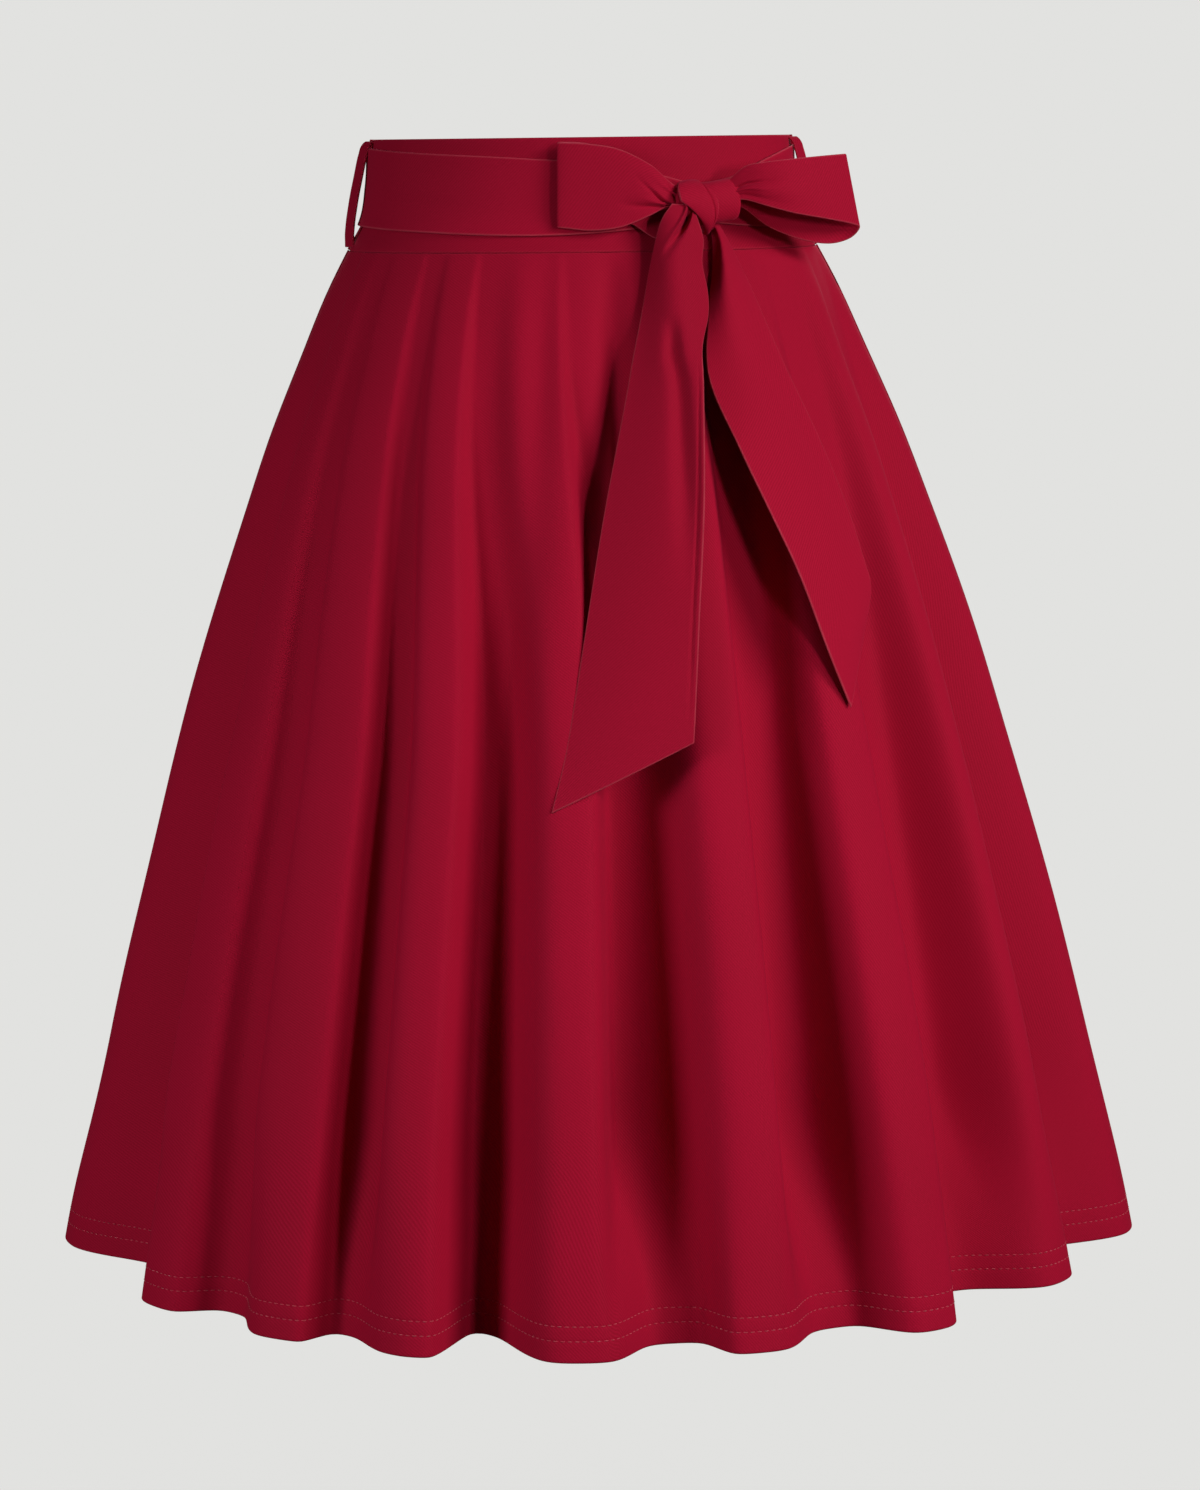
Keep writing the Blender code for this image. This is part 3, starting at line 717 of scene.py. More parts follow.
def twill_group():
    """The weave: fine diagonal ribs of twill, crossed by single threads, with slubs that thicken some of them."""
    group, given, out = new_group(
        "Twill Weave",
        [
            ("Place", "NodeSocketVector", None),
            ("Rib Spacing", "NodeSocketFloat", 1.4 * MM),
            ("Slub", "NodeSocketFloat", 0.35),
        ],
        [("Height", "NodeSocketFloat"), ("Rib", "NodeSocketFloat")],
    )
    apart = put(group, "ShaderNodeSeparateXYZ", {"Vector": given["Place"]}).outputs
    wander = sums(group, "SUBTRACT", noise(group, given["Place"], 160.0, 2.0, 0.6), 0.5)
    drift = sums(group, "MULTIPLY", wander, given["Slub"])
    diagonal = sums(group, "MULTIPLY", sums(group, "ADD", apart["X"], apart["Y"]), 0.7071)
    rib = waves(group, sums(group, "ADD", sums(group, "DIVIDE", diagonal, given["Rib Spacing"]), drift))
    thread_spacing = sums(group, "MULTIPLY", given["Rib Spacing"], 0.42)
    thread = waves(group, sums(group, "DIVIDE", apart["Y"], thread_spacing))
    height = sums(group, "ADD", sums(group, "MULTIPLY", rib, 0.7), sums(group, "MULTIPLY", thread, 0.3))
    group.links.new(height, out["Height"])
    group.links.new(rib, out["Rib"])


def dye_group():
    """The dyed colour: darker between the ribs, as painted shade in the weave's grooves, and deeper in slow clouds of
    the dye, with flecks of single threads and a painted highlight along the edges.
    """
    group, given, out = new_group(
        "Dyed Cloth",
        [
            ("Place", "NodeSocketVector", None),
            ("Rib", "NodeSocketFloat", 0.5),
            ("Light Dye", "NodeSocketColor", None),
            ("Deep Dye And Groove Shade", "NodeSocketColor", None),
            ("Cloudiness", "NodeSocketFloat", 0.25),
            ("Highlight Dye", "NodeSocketColor", None),
            ("From Edge", "NodeSocketFloat", 1.0),
            ("Edge Highlight Strength", "NodeSocketFloat", 0.6),
        ],
        [("Color", "NodeSocketColor"), ("Roughness", "NodeSocketFloat")],
    )
    place = given["Place"]
    clouds = noise(group, place, 9.0, 4.0, 0.55)
    flecks = noise(group, place, 900.0, 1.0)
    cloud = sums(group, "MULTIPLY", sums(group, "SUBTRACT", clouds, 0.5), given["Cloudiness"])
    fleck = sums(group, "MULTIPLY", sums(group, "SUBTRACT", flecks, 0.5), 0.5)
    # The ribs paint shade into the grooves between them, beside the dye's own slow clouds and flecks.
    depth = sums(group, "ADD", sums(group, "MULTIPLY", given["Rib"], 0.5), sums(group, "ADD", cloud, fleck))
    before_highlight = mixed(group, sums(group, "ADD", depth, 0.275), given["Deep Dye And Groove Shade"], given["Light Dye"])
    # Near every edge the colour passes to a lighter dye: a painted highlight, where a folded edge would catch the
    # light.
    near = ramped(group, given["From Edge"], 1.2 * MM, 0.3 * MM)
    patchy = sums(group, "MULTIPLY_ADD", noise(group, place, 60.0, 2.0), 0.9, 0.45)
    highlit = sums(group, "MULTIPLY", sums(group, "MULTIPLY", near, given["Edge Highlight Strength"]), patchy)
    group.links.new(mixed(group, highlit, before_highlight, given["Highlight Dye"]), out["Color"])
    group.links.new(sums(group, "MULTIPLY_ADD", clouds, 0.12, 0.74), out["Roughness"])


def new_material(name, colour=(0.8, 0.8, 0.8)):
    """A material, its node tree and its shader."""
    made = bpy.data.materials.new(name)
    made.use_nodes = True
    made.diffuse_color = (*colour, 1)
    return made, made.node_tree, made.node_tree.nodes["Principled BSDF"]


def cloth_material(name, light_dye, deep_dye_and_groove_shade, looks, sheen, relief, cloudiness, edge_highlight):
    """Woven cloth: dyed twill with a soft nap."""
    _, tree, shader = new_material(name, light_dye)
    groups = bpy.data.node_groups
    place = put(tree, "ShaderNodeUVMap", uv_map=WEAVE_MAP).outputs["UV"]
    threads = {"Place": place, "Rib Spacing": looks.rib_spacing}
    weave = put(tree, "ShaderNodeGroup", threads, node_tree=groups["Twill Weave"]).outputs
    colours = {
        "Place": place,
        "Rib": weave["Rib"],
        "Light Dye": (*light_dye, 1),
        # The deep dye is also painted shade between the ribs.
        "Deep Dye And Groove Shade": (*deep_dye_and_groove_shade, 1),
        "Cloudiness": cloudiness,
        # A lighter copy of the dye, painted along the edges as a highlight.
        "Highlight Dye": (*[channel + looks.edge_highlight_lift for channel in light_dye], 1),
        "From Edge": put(tree, "ShaderNodeAttribute", attribute_name=EDGE_MAP).outputs["Fac"],
        "Edge Highlight Strength": edge_highlight,
    }
    dye = put(tree, "ShaderNodeGroup", colours, node_tree=groups["Dyed Cloth"]).outputs
    bump = {"Strength": relief, "Distance": 0.12 * MM, "Height": weave["Height"]}
    surface = {
        "Base Color": dye["Color"],
        "Roughness": dye["Roughness"],
        "Normal": put(tree, "ShaderNodeBump", bump).outputs["Normal"],
        "Sheen Weight": sheen,
        "Sheen Roughness": 0.5,
        "Sheen Tint": (1.0, 0.12, 0.30, 1),
        "Specular IOR Level": 0.08,
    }
    feed(tree, shader, surface)


def thread_material(name, colour):
    """Twisted sewing thread."""
    _, tree, shader = new_material(name, colour)
    twist = noise(tree, put(tree, "ShaderNodeTexCoord").outputs["Object"], 700.0, 2.0, 0.6)
    shaded = (colour[0] * 0.75, colour[1] * 0.6, colour[2] * 0.6, 1)
    bump = {"Strength": 0.4, "Distance": 0.1 * MM, "Height": twist}
    surface = {
        "Base Color": mixed(tree, twist, shaded, (*colour, 1)),
        "Normal": put(tree, "ShaderNodeBump", bump).outputs["Normal"],
        "Roughness": 0.55,
        "Sheen Weight": 0.2,
    }
    feed(tree, shader, surface)


def finishes():
    """Every material by name, made once."""
    looks = bpy.context.scene.skirt_looks
    if "Twill Weave" not in bpy.data.node_groups:
        twill_group()
        dye_group()
    # The last column of each finish sets how strongly a highlight is painted along the cloth's edges.
    for name, tone, sheen, relief, cloudiness, edge_highlight in FINISHES:
        if name not in bpy.data.materials:
            # The deep dye paints shade between the ribs as well as the dye's deeper clouds.
            light, deep = ([tone * channel for channel in dye] for dye in (looks.light_dye, looks.deep_dye_and_groove_shade))
            cloth_material(name, light, deep, looks, sheen, relief, cloudiness, edge_highlight)
    if "hem thread" not in bpy.data.materials:
        thread_material("hem thread", tuple(looks.thread))
    return bpy.data.materials


# ---- pieces ----


def seat(piece, node):
    """Lets a piece stand for its solid and ride on the part."""
    if node:
        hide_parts(node)
    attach(piece, "root")


def panel_surface(bearings, drops):
    """Points of a skirt panel's right side."""
    bearings, drops = np.broadcast_arrays(bearings[None, :], drops[:, None])
    out = outline(drops) - fold_depth(bearings + lean(bearings, drops), drops)
    out = out + creased(drops / MM, bearings, PANEL_CREASES)
    points = around_waist(bearings, out, drops)
    calm = smooth((drops - WAISTBAND_DROP) / SEAM_EASE)
    out = out + soft_unevenness(points, *SKIRT_UNEVENNESS) * calm
    for row in HEM_ROWS:
        away = (drops - (SKIRT_DROP - row)) / STITCH_DENT_WIDTH
        out = out - STITCH_DENT_DEPTH * np.exp(-(away**2))
    return around_waist(bearings, out, drops)


def panel_places(points):
    """Places on the weave for a flared panel, which is cut as part of a ring."""
    down = lengths_along(points, 0)
    across = lengths_along(points, 1)
    spread = (across[-1, -1] - across[0, -1]) / down[-1].mean()
    radius = across[0, -1] / spread + down
    angle = (across - across[:, -1:] / 2) / radius
    return np.stack([radius * np.sin(angle), -radius * np.cos(angle)], axis=-1)


def panel_drops():
    """Drops of a panel's rows, closer together at the waist seam, the hem's stitching and its lower fold."""
    top = WAISTBAND_DROP + SEAM_GAP
    seam = top + np.array([0, 0.07, 0.25, 0.55, 1.0, 2.0, 4.0]) * SKIRT_CLOTH / 2
    body = np.linspace(top + 5 * MM, SKIRT_DROP - 30 * MM, 78)
    between = SKIRT_DROP - np.array([27, 23, 17.3, 15.4, 8.6, 6]) * MM
    stitched = [SKIRT_DROP - row + np.linspace(-1.6, 1.6, 7) * MM for row in HEM_ROWS]
    turned = SKIRT_DROP - HEM_DEPTH + np.array([-0.9, -0.3]) * MM
    fold = SKIRT_DROP - np.array([4.0, 2.0, 1.0, 0.55, 0.25, 0.07, 0]) * HEM_CLOTH / 2
    return np.unique(np.round(np.concatenate([seam, body, between, *stitched, turned, fold]), 6))


class SKIRT_OT_panels(bpy.types.Operator):
    """Sew the front and back panels, with their folds and turned-up hem"""

    bl_idname = "skirt.panels"
    bl_label = "Panels"

    def execute(self, context):
        made = finishes()
        drops = panel_drops()
        turned = smooth((drops - (SKIRT_DROP - HEM_DEPTH) + 0.6 * MM) / (1.2 * MM))
        thickness = SKIRT_CLOTH + (HEM_CLOTH - SKIRT_CLOTH) * turned[:, None]
        cloths = [made["skirt cloth"], made["skirt cloth wrong side"]]
        for side, low, _, _ in PANELS:
            outer = panel_surface(even_bearings(low, low + 180, 400), drops)
            open_seams(outer)
            piece = shell(f"{side}_panel", outer, thickness, cloths, in_seams=True, places=panel_places(outer))
            seat(piece, f"skirt_{side}")
        return {"FINISHED"}


class SKIRT_OT_hem_stitches(bpy.types.Operator):
    """Stitch the two rows that hold the turned-up hem"""

    bl_idname = "skirt.hem_stitches"
    bl_label = "Hem Stitches"

    def execute(self, context):
        sizes = context.scene.skirt_sizes
        thread = [finishes()["hem thread"]]
        for side, low, flat, area in PANELS:
            bearings = even_bearings(low, low + 180, 2400)[6:-6]
            lines = [panel_surface(bearings, np.array([SKIRT_DROP - row - MM, SKIRT_DROP - row])) for row in HEM_ROWS]
            spans = [stitch_spans(line, sizes.stitch_pitch, sizes.stitch_length) for line in lines]
            piece = stitches(f"hem_stitches_{side}", np.concatenate(spans), sizes.thread_width, thread)
            seat(piece, None)
        return {"FINISHED"}


def stitch_spans(line, pitch, length):
    """The two ends and the outward direction of each stitch along the lower row of a pair of rows of points."""
    outward = np.cross(line[1] - line[0], np.gradient(line[1], axis=0))
    outward /= np.linalg.norm(outward, axis=1, keepdims=True)
    run = np.concatenate([[0], np.cumsum(np.linalg.norm(np.diff(line[1], axis=0), axis=1))])

    def read(values, at):
        return np.stack([np.interp(at, run, values[:, axis]) for axis in range(3)], axis=-1)

    starts = np.arange(pitch, run[-1] - pitch, pitch)
    ends = [read(line[1], starts), read(line[1], starts + length), read(outward, starts + length / 2)]
    return np.stack(ends, axis=1)


def stitches(name, spans, width, materials):
    """Short threads that arch a little off the cloth and sink into it at both ends."""
    sides, rings = 6, 5
    start, end, out = spans[:, 0], spans[:, 1], spans[:, 2]
    along = (end - start) / np.linalg.norm(end - start, axis=1, keepdims=True)
    aside = np.cross(along, out)
    points = []
    for share in np.linspace(0, 1, rings):
        arch = math.sin(math.pi * share)
        middle = start + (end - start) * share + out * width * (0.75 * arch - 0.3)
        radius = width / 2 * (0.55 + 0.45 * arch)
        for turn in np.arange(sides) * 2 * math.pi / sides:
            points.append(middle + (out * math.cos(turn) + aside * math.sin(turn)) * radius)
    index, _ = numbered(rings, sides, True)
    faces = [*quads(index.T).tolist(), index[0, :sides][::-1].tolist(), index[-1, :sides].tolist()]
    every = [
        [corner + stitch * rings * sides for corner in face] for stitch in range(len(spans)) for face in faces
    ]
    return smooth_piece(name, np.stack(points, axis=1).reshape(-1, 3), every, materials)


class SKIRT_OT_waistband(bpy.types.Operator):
    """Sew the contoured waistband, folded over at its top edge"""

    bl_idname = "skirt.waistband"
    bl_label = "Waistband"

    def execute(self, context):
        made = finishes()
        cloths = [made["waistband cloth"], made["skirt cloth wrong side"]]
        drops = with_lips(0, WAISTBAND_DROP, WAISTBAND_DROP, 26, BAND_CLOTH / 2)
        for side, low, _, _ in PANELS:
            bearings = with_lips(low, low + 180, 0.43, 150, BAND_CLOTH / 2)
            around, down = np.broadcast_arrays(bearings[None, :], drops[:, None])
            outer = around_waist(around, outline(down), down)
            ease = smooth(down / (8 * MM)) * smooth((WAISTBAND_DROP - down) / (10 * MM))
            outer = around_waist(around, outline(down) + soft_unevenness(outer, *BAND_UNEVENNESS) * ease, down)
            open_seams(outer)
            piece = shell(f"waistband_{side}_cloth", outer, BAND_CLOTH, cloths, in_seams=True)
            seat(piece, f"waistband_{side}")
        return {"FINISHED"}


class SKIRT_OT_belt_loops(bpy.types.Operator):
    """Sew a belt loop at each side, arched over the sash"""

    bl_idname = "skirt.belt_loops"
    bl_label = "Belt Loops"

    def execute(self, context):
        made = finishes()
        steps = with_lips(0, 1, 0.075, 60, LOOP_CLOTH / 2)
        stations = np.linspace(0, 1, len(BELT_LOOP))
        drop = np.interp(steps, stations, column(BELT_LOOP, BELT_LOOP_COLUMNS, "drop") * MM)
        (stand_off,) = curves(BELT_LOOP, BELT_LOOP_COLUMNS, drop, MM)
        across = with_lips(-0.5, 0.5, BELT_LOOP_WIDTH, 8, LOOP_CLOTH / 2)[None, :, None]
        for side, bearing in (("left", -BELT_LOOP_BEARING), ("right", BELT_LOOP_BEARING)):
            angle = math.radians(bearing - math.copysign(BELT_LOOP_TURN, bearing))
            along = np.array([math.cos(angle), math.sin(angle), 0])
            middle = around_waist(bearing, outline(drop) + stand_off, drop)
            outer = middle[:, None] + along * BELT_LOOP_WIDTH * across
            piece = shell(f"belt_loop_{side}_cloth", outer, LOOP_CLOTH, [made["waistband cloth"]])
            seat(piece, f"belt_loop_{side}")
        return {"FINISHED"}


class SKIRT_OT_sash(bpy.types.Operator):
    """Lay the sash round the waistband"""

    bl_idname = "skirt.sash"
    bl_label = "Sash"

    def execute(self, context):
        made = finishes()
        bearings = np.linspace(-180, 180, 720, endpoint=False)
        top, bottom, stand_off = curves(SASH, SASH_COLUMNS, bearings)
        shares = with_lips(0, 1, 0.048, 30, SASH_CLOTH / 2)[:, None]
        drop = top + (bottom - top) * shares
        around = np.broadcast_to(bearings, drop.shape)
        out = outline(drop) + stand_off + SASH_CLOTH + creased(around, shares, SASH_CREASES)
        outer = around_waist(around, out, drop)
        piece = shell("sash_round_waist", outer, SASH_CLOTH, [made["sash cloth"]], closed=True)
        seat(piece, "sash_waist")
        return {"FINISHED"}


def knot_frame():
    """The knot's centre, and its unit directions along the waist, out of it and up."""
    angle = math.radians(KNOT_BEARING)
    along = np.array([math.cos(angle), math.sin(angle), 0])
    out = np.array([math.sin(angle), -math.cos(angle), 0])
    centre = around_waist(KNOT_BEARING, outline(KNOT_DROP) + KNOT_STAND_OFF, KNOT_DROP)
    return centre, along, out, np.array([0.0, 0.0, 1.0])


def wrap_surface(shares, turns):
    """Points of the wrap that closes the knot, from its left edge to the pleat along its right edge."""
    centre, along, out, up = knot_frame()
    left, right = curves(WRAP, WRAP_COLUMNS, turns)
    cupped = 1 - WRAP_CUP * (2 * shares - 1) ** 2
    groove = GROOVE_DEPTH * np.exp(-(((shares - PLEAT_SHARE) / GROOVE_SHARE) ** 2))
    inwards = groove + PLEAT_STEP * smooth((shares - PLEAT_SHARE) / GROOVE_SHARE)
    height = (WRAP_HALF_HEIGHT - inwards) * cupped * np.cos(np.radians(turns))
    depth = (WRAP_HALF_DEPTH - inwards) * cupped * np.sin(np.radians(turns))
    spots = left + (right - left) * shares
    return centre + along * spots[..., None] + up * height[..., None] + out * depth[..., None]


def core_surface(spots, turns):
    """Points of the folded cloth inside the knot."""
    centre, along, out, up = knot_frame()
    height, depth, rise = curves(CORE, CORE_COLUMNS, spots, MM)
    lift = (rise + height * np.cos(turns))[..., None]
    return centre + along * spots[..., None] + up * lift + out * (depth * np.sin(turns))[..., None]


class SKIRT_OT_knot(bpy.types.Operator):
    """Tie the knot: a wrap of the sash round folded cloth"""

    bl_idname = "skirt.knot"
    bl_label = "Knot"

    def execute(self, context):
        cloths = [finishes()["sash cloth"]]
        degrees = np.linspace(-90, 270, 200, endpoint=False)
        shares = with_lips(1, 0, WRAP_WIDTH, 56, KNOT_CLOTH / 2)
        grid = np.broadcast_arrays(shares[:, None], degrees[None, :])
        wrap = shell("knot_wrap_cloth", wrap_surface(*grid), KNOT_CLOTH, cloths, closed=True)
        seat(wrap, "knot_wrap")
        spots = with_lips(CORE[-1][0] * MM, CORE[0][0] * MM, 0.041, 48, KNOT_CLOTH)
        grid = np.broadcast_arrays(spots[:, None], np.radians(degrees)[None, :])
        core = core_shell("knot_core_cloth", core_surface(*grid), cloths)
        seat(core, "knot_core")
        return {"FINISHED"}


def core_shell(name, outer, materials):
    """A closed lump of cloth, its two ends drawn together."""
    rows, columns = outer.shape[:2]
    index, spots = numbered(rows, columns, True)
    points = np.concatenate([outer.reshape(-1, 3), [outer[0].mean(axis=0), outer[-1].mean(axis=0)]])
    ends = rows * columns
    faces = quads(index).tolist()
    corners = quads(spots).ravel().tolist()
    for c in range(columns):
        faces.append([ends, index[0][c], index[0][c + 1]])
        faces.append([ends + 1, index[-1][c + 1], index[-1][c]])
        corners += [spots[0][c], spots[0][c], spots[0][c + 1]]
        corners += [spots[-1][c], spots[-1][c + 1], spots[-1][c]]
    places = flat_places(outer, True).reshape(-1, 2)[corners]
    return woven_piece(name, points, faces, places, np.full(len(points), 10 * MM), materials)


def ribbon_surface(table, steps, shares, creases):
    """Points of a ribbon between its two edges, gathered and creased."""
    edges = by_station(table, RIBBON_COLUMNS, steps)
    top, bottom = (np.stack([edges[f"{edge}_{axis}"] for axis in "xyz"], axis=-1) for edge in ("top", "bottom"))
    shares = shares[:, None]
    flat = top[None] * (1 - shares[:, :, None]) + bottom[None] * shares[:, :, None]
    lift = edges["bulge"] * np.sin(np.pi * shares) + edges["gather"] * np.sin(2 * np.pi * BOW_GATHERS * shares)
    lift = lift + creased(steps[None, :], shares, creases)
    return flat + grid_normals(flat, False) * lift[:, :, None]


class SKIRT_OT_bow_loops(bpy.types.Operator):
    """Fold the bow's two loops, gathered into the knot"""

    bl_idname = "skirt.bow_loops"
    bl_label = "Bow Loops"

    def execute(self, context):
        made = finishes()
        shares = with_lips(0, 1, 0.04, 56, SASH_CLOTH / 2)
        for side, table, creases, area in (
            ("left", LEFT_BOW_LOOP, LEFT_LOOP_CREASES, 0.0064),
            ("right", RIGHT_BOW_LOOP, RIGHT_LOOP_CREASES, 0.0062),
        ):
            steps = with_lips(0, len(table) - 1, 0.17, 240, SASH_CLOTH / 2)
            outer = ribbon_surface(table, steps, shares, creases)
            piece = shell(f"bow_loop_{side}_cloth", outer, SASH_CLOTH, [made["sash cloth"]])
            seat(piece, f"bow_loop_{side}")
        return {"FINISHED"}


def tail_surface(table, steps, shares, creases):
    """Points of a tail, laid over the skirt's folds."""
    edge = by_station(table, TAIL_COLUMNS, steps)
    lift = creased(steps[:, None], shares[None, :], creases)
    rows = []
    for i in range(len(steps)):
        x, drop, off = (
            edge[f"left_{name}"][i] * (1 - shares) + edge[f"right_{name}"][i] * shares
            for name in ("x", "drop", "off")
        )
        peak = math.log(0.5) / math.log(edge["ridge"][i] / MM)
        off = off + edge["cup"][i] * np.sin(math.pi * shares**peak) + lift[i]
        rows.append([(a, front_y(a, d, o), -d) for a, d, o in zip(x, drop, off)])
    return np.array(rows)


class SKIRT_OT_tails(bpy.types.Operator):
    """Hang the sash's two ends over the skirt"""

    bl_idname = "skirt.tails"
    bl_label = "Tails"

    def execute(self, context):
        made = finishes()
        shares = with_lips(0, 1, 0.055, 84, SASH_CLOTH / 2)
        for side, table, creases, cloth, flat, area in (
            # The left tail wears the darker copy of the sash cloth, as painted shade.
            ("left", LEFT_TAIL, LEFT_TAIL_CREASES, "sash cloth with painted shade", (0.085, 0.36), 0.0200),
            ("right", RIGHT_TAIL, RIGHT_TAIL_CREASES, "sash cloth", (0.07, 0.30), 0.0158),
        ):
            steps = with_lips(0, len(table) - 1, 0.34, 150, SASH_CLOTH / 2)
            outer = tail_surface(table, steps, shares, creases)
            piece = shell(f"tail_{side}_cloth", outer, SASH_CLOTH, [made[cloth]])
            seat(piece, f"tail_{side}")
        return {"FINISHED"}


# ---- stage ----

LIGHT_REACH = 2.9
SENSOR_WIDTH = 36


class SKIRT_OT_stage(bpy.types.Operator):
    """Set the pale floor, the soft studio lights and the camera"""

    bl_idname = "skirt.stage"
    bl_label = "Stage"

    def execute(self, context):
        scene, stage = context.scene, context.scene.skirt_stage
        scene.view_settings.view_transform = "Standard"
        scene.view_settings.look = "None"
        pale_world(scene, stage)
        pale_floor(stage)
        for name, bearing, height, aim, spread, size, power, tint in (
            ("key_light", 57, 1.0, -0.35, 180, (1.1, 0.8), stage.key_power, (1.0, 0.98, 0.96)),
            ("front_light", 34, 0.2, -0.42, 44, (0.3, 0.4), stage.front_power, (1.0, 0.99, 0.98)),
            ("left_light", -52, 0.2, -0.58, 46, (1.0, 0.8), stage.left_power, (0.97, 0.98, 1.0)),
            ("back_light", 172, 1.6, -0.35, 180, (1.8, 1.8), stage.back_power, (1.0, 1.0, 1.0)),
        ):
            studio_light(name, bearing, height, aim, spread, size, power, tint)
        camera(scene, stage)
        return {"FINISHED"}


def pale_world(scene, stage):
    """An even pale backdrop that also lights the skirt softly."""
    scene.world = bpy.data.worlds.new("pale studio")
    scene.world.use_nodes = True
    tree = scene.world.node_tree
    seen = tree.nodes["Background"]
    seen.inputs["Color"].default_value = (*stage.backdrop, 1)
    lit = put(tree, "ShaderNodeBackground", {"Color": (*stage.backdrop, 1), "Strength": stage.ambient})
    from_camera = put(tree, "ShaderNodeLightPath").outputs["Is Camera Ray"]
    mix = put(tree, "ShaderNodeMixShader", {0: from_camera, 1: lit.outputs[0], 2: seen.outputs[0]})
    tree.links.new(mix.outputs[0], tree.nodes["World Output"].inputs["Surface"])


def pale_floor(stage):
    """A round pale floor, which fades into the backdrop away from the skirt."""
    count = 96
    turns = [2 * math.pi * step / count for step in range(count)]
    reach, height = stage.floor_reach, stage.floor_height
    mesh = bpy.data.meshes.new("floor")
    mesh.from_pydata([(reach * math.cos(turn), reach * math.sin(turn), height) for turn in turns], [], [range(count)])
    made, tree, shader = new_material("floor paint")
    place = put(tree, "ShaderNodeTexCoord").outputs["Object"]
    grain = noise(tree, place, 30.0, 3.0)
    darker = (*[0.97 * channel for channel in stage.backdrop], 1)
    feed(tree, shader, {"Base Color": mixed(tree, grain, (*stage.backdrop, 1), darker), "Roughness": 0.9})
    away = put(tree, "ShaderNodeVectorMath", {0: place}, operation="LENGTH").outputs["Value"]
    clear = put(tree, "ShaderNodeBsdfTransparent").outputs[0]
    mix = put(tree, "ShaderNodeMixShader", {0: ramped(tree, away, 0.15, 1.3), 1: shader.outputs[0], 2: clear})
    tree.links.new(mix.outputs[0], tree.nodes["Material Output"].inputs["Surface"])
    mesh.materials.append(made)
    placed("floor", mesh)


def studio_light(name, bearing, height, aim, spread, size, power, tint):
    """A soft oblong light round the skirt at a bearing, which faces a height on its middle line."""
    data = bpy.data.lights.new(name, "AREA")
    data.shape = "RECTANGLE"
    data.size, data.size_y = size
    data.spread = math.radians(spread)
    data.energy = power
    data.color = tint
    light = placed(name, data)
    angle = math.radians(bearing)
    place = Vector((LIGHT_REACH * math.sin(angle), -LIGHT_REACH * math.cos(angle), height))
    light.location = place
    light.rotation_mode = "QUATERNION"
    light.rotation_quaternion = (Vector((0, 0, aim)) - place).to_track_quat("-Z", "Y")
    light.visible_camera = False


def camera(scene, stage):
    """The camera stands level with the waist and looks a little down at the skirt."""
    data = bpy.data.cameras.new("camera")
    data.lens = stage.lens
    data.sensor_width = SENSOR_WIDTH
    scene.camera = placed("camera", data)
    tilt, roll = stage.camera_tilt, stage.camera_roll
    right = np.array([1.0, 0, 0])
    up = np.array([0, math.sin(tilt), math.cos(tilt)])
    back = np.array([0, -math.cos(tilt), math.sin(tilt)])
    rolled_right = right * math.cos(roll) - up * math.sin(roll)
    rolled_up = right * math.sin(roll) + up * math.cos(roll)
    place = Matrix((rolled_right, rolled_up, back)).transposed().to_4x4()
    place.translation = stage.camera_place
    scene.camera.matrix_world = place


# ---- settings, panel and registration ----


DISTANCE = {"unit": "LENGTH", "subtype": "DISTANCE"}
ANGLE = {"unit": "ROTATION", "subtype": "ANGLE"}
COLOUR = {"min": 0, "max": 1, "size": 3, "subtype": "COLOR"}
POWER = {"min": 0, "max": 1000, "unit": "POWER"}


class SkirtSizes(bpy.types.PropertyGroup):
    stitch_pitch: FloatProperty(
        name="Stitch Pitch", description="From the start of one hem stitch to the next",
        default=4.2 * MM, min=2 * MM, max=10 * MM, **DISTANCE,
    )
    stitch_length: FloatProperty(
        name="Stitch Length", description="How much of each pitch the thread shows for",
        default=2.8 * MM, min=1 * MM, max=8 * MM, **DISTANCE,
    )
    thread_width: FloatProperty(
        name="Thread Width", description="Thickness of the sewing thread",
        default=0.55 * MM, min=0.2 * MM, max=1.5 * MM, **DISTANCE,
    )


class SkirtLooks(bpy.types.PropertyGroup):
    light_dye: FloatVectorProperty(
        name="Light Dye", description="Colour of the cloth on the crowns of its threads",
        default=(0.43, 0.0045, 0.034), **COLOUR,
    )
    # Between the threads the cloth is painted darker, as shade in the weave's grooves; the same colour deepens the
    # dye's slow clouds.
    deep_dye_and_groove_shade: FloatVectorProperty(
        name="Deep Dye And Groove Shade", description="Colour of the cloth between its threads",
        default=(0.28, 0.0020, 0.016), **COLOUR,
    )
    thread: FloatVectorProperty(
        name="Thread", description="Colour of the hem's sewing thread",
        default=(0.55, 0.03, 0.07), **COLOUR,
    )
    # Along every edge the dye is painted lighter by this much, as a highlight.
    edge_highlight_lift: FloatProperty(
        name="Edge Highlight Lift", description="How much lighter each channel of the dye is where an edge is worn",
        default=0.05, min=0, max=0.5,
    )
    rib_spacing: FloatProperty(
        name="Rib Spacing", description="From one diagonal rib of the twill to the next",
        default=1.4 * MM, min=0.3 * MM, max=5 * MM, **DISTANCE,
    )


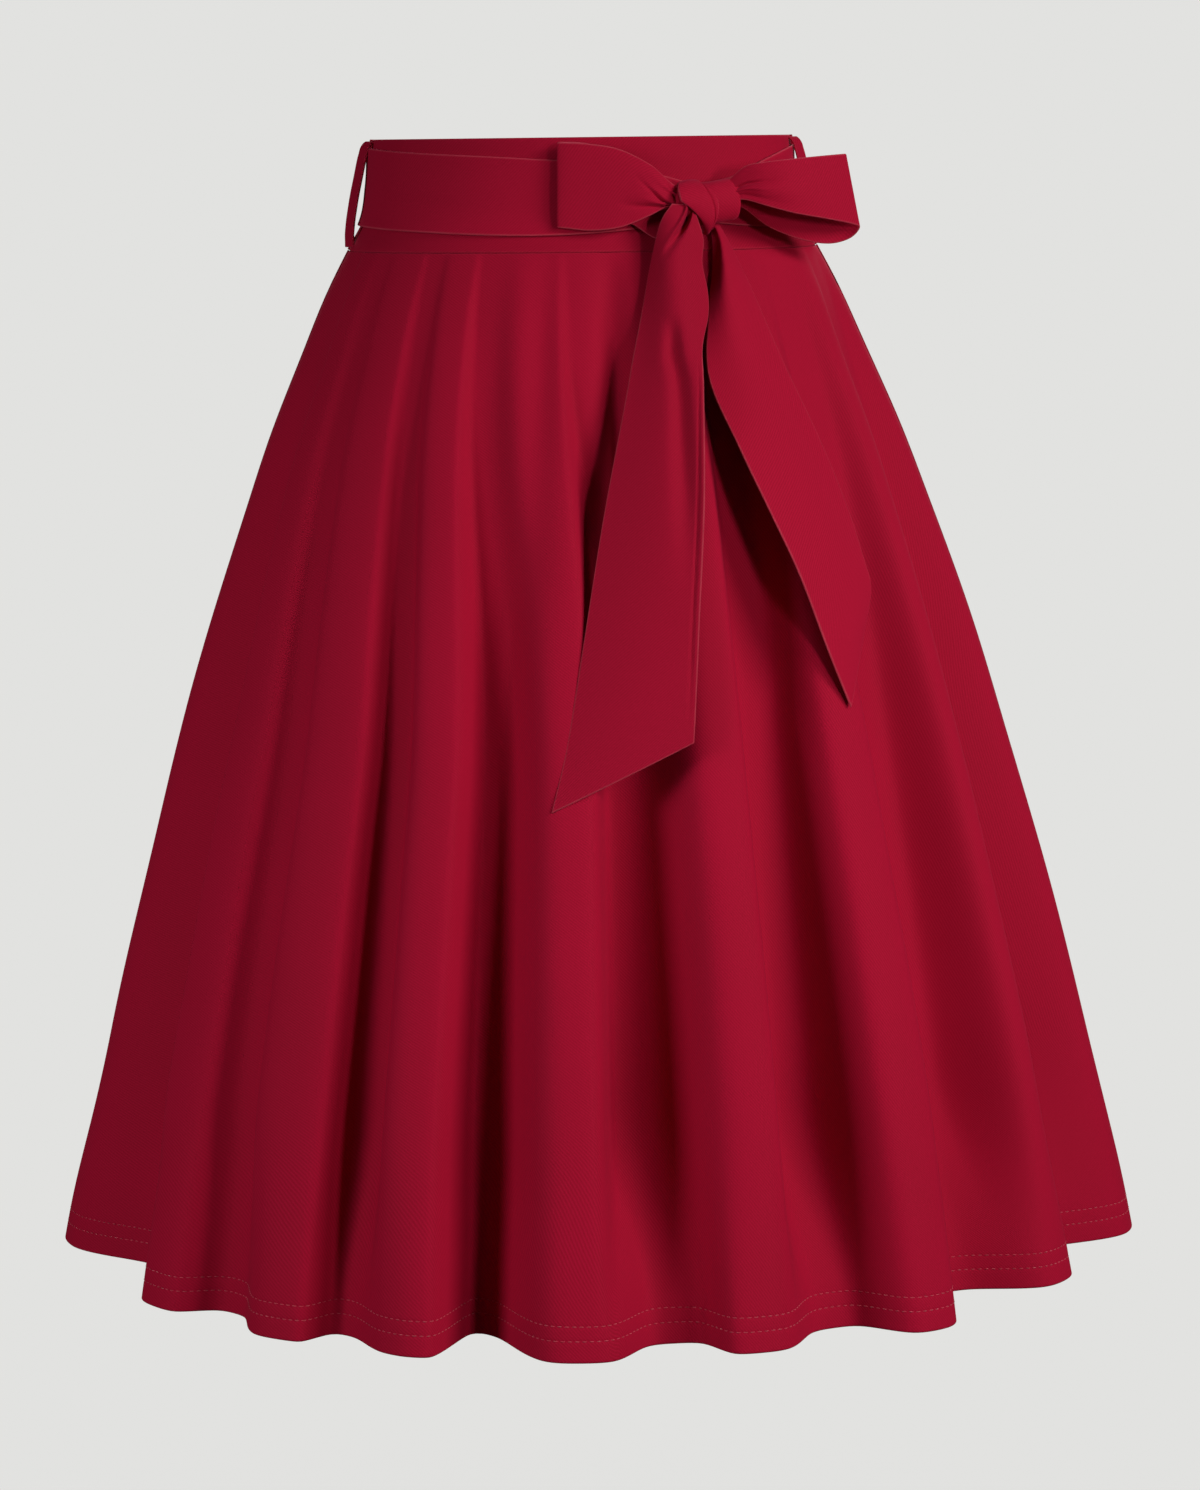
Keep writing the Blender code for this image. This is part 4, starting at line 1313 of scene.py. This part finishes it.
class SkirtStage(bpy.types.PropertyGroup):
    backdrop: FloatVectorProperty(
        name="Backdrop", description="Colour of the backdrop and the floor",
        default=(0.76, 0.76, 0.745), **COLOUR,
    )
    ambient: FloatProperty(
        name="Ambient", description="How much light the backdrop gives",
        default=0.055, min=0, max=4,
    )
    key_power: FloatProperty(
        name="Key Light", description="Power of the broad light on the right",
        default=58, **POWER,
    )
    front_power: FloatProperty(
        name="Front Light", description="Power of the light in front, a little to the right",
        default=1.5, **POWER,
    )
    left_power: FloatProperty(
        name="Left Light", description="Power of the light on the left",
        default=2.8, **POWER,
    )
    back_power: FloatProperty(
        name="Back Light", description="Power of the light behind",
        default=85, **POWER,
    )
    floor_height: FloatProperty(
        name="Floor Height", description="Height of the floor, which lies where a wearer would stand",
        default=-1.05, **DISTANCE,
    )
    floor_reach: FloatProperty(
        name="Floor Reach", description="Radius of the floor",
        default=3.0, min=0.5, **DISTANCE,
    )
    lens: FloatProperty(
        name="Lens", description="Focal length in millimetres on a 36 mm sensor",
        default=103.86, min=10, max=400,
    )
    camera_place: FloatVectorProperty(
        name="Camera Place", description="Where the camera stands",
        default=(0.0072, -2.7, 0.0), size=3, unit="LENGTH", subtype="XYZ",
    )
    camera_tilt: FloatProperty(
        name="Camera Tilt", description="How far the camera looks down",
        default=math.radians(8.053), **ANGLE,
    )
    camera_roll: FloatProperty(
        name="Camera Roll", description="How far the camera leans to its right",
        default=math.radians(0.7), **ANGLE,
    )


OPERATORS = (
    SKIRT_OT_panels,
    SKIRT_OT_waistband,
    SKIRT_OT_hem_stitches,
    SKIRT_OT_belt_loops,
    SKIRT_OT_sash,
    SKIRT_OT_knot,
    SKIRT_OT_bow_loops,
    SKIRT_OT_tails,
    SKIRT_OT_stage,
)


class VIEW3D_PT_skirt(bpy.types.Panel):
    """Sizes, looks and pieces of the skirt"""

    bl_idname = "VIEW3D_PT_skirt"
    bl_label = "Flared Skirt"
    bl_space_type = "VIEW_3D"
    bl_region_type = "UI"
    bl_category = "Skirt"

    def draw(self, context):
        for group in (context.scene.skirt_sizes, context.scene.skirt_looks, context.scene.skirt_stage):
            box = self.layout.box()
            for name in group.__annotations__:
                box.prop(group, name)
        for operator in OPERATORS:
            self.layout.operator(operator.bl_idname)


SETTINGS = (("skirt_sizes", SkirtSizes), ("skirt_looks", SkirtLooks), ("skirt_stage", SkirtStage))


def register():
    for _, group in SETTINGS:
        bpy.utils.register_class(group)
    for operator in OPERATORS:
        bpy.utils.register_class(operator)
    bpy.utils.register_class(VIEW3D_PT_skirt)
    for name, group in SETTINGS:
        setattr(bpy.types.Scene, name, PointerProperty(type=group))


def unregister():
    for name, _ in SETTINGS:
        delattr(bpy.types.Scene, name)
    bpy.utils.unregister_class(VIEW3D_PT_skirt)
    for operator in reversed(OPERATORS):
        bpy.utils.unregister_class(operator)
    for _, group in reversed(SETTINGS):
        bpy.utils.unregister_class(group)


def main():
    register()
    bpy.ops.skirt.panels()
    bpy.ops.skirt.waistband()
    bpy.ops.skirt.hem_stitches()
    bpy.ops.skirt.belt_loops()
    bpy.ops.skirt.sash()
    bpy.ops.skirt.knot()
    bpy.ops.skirt.bow_loops()
    bpy.ops.skirt.tails()
    bpy.ops.skirt.stage()


if __name__ == "__main__":
    main()
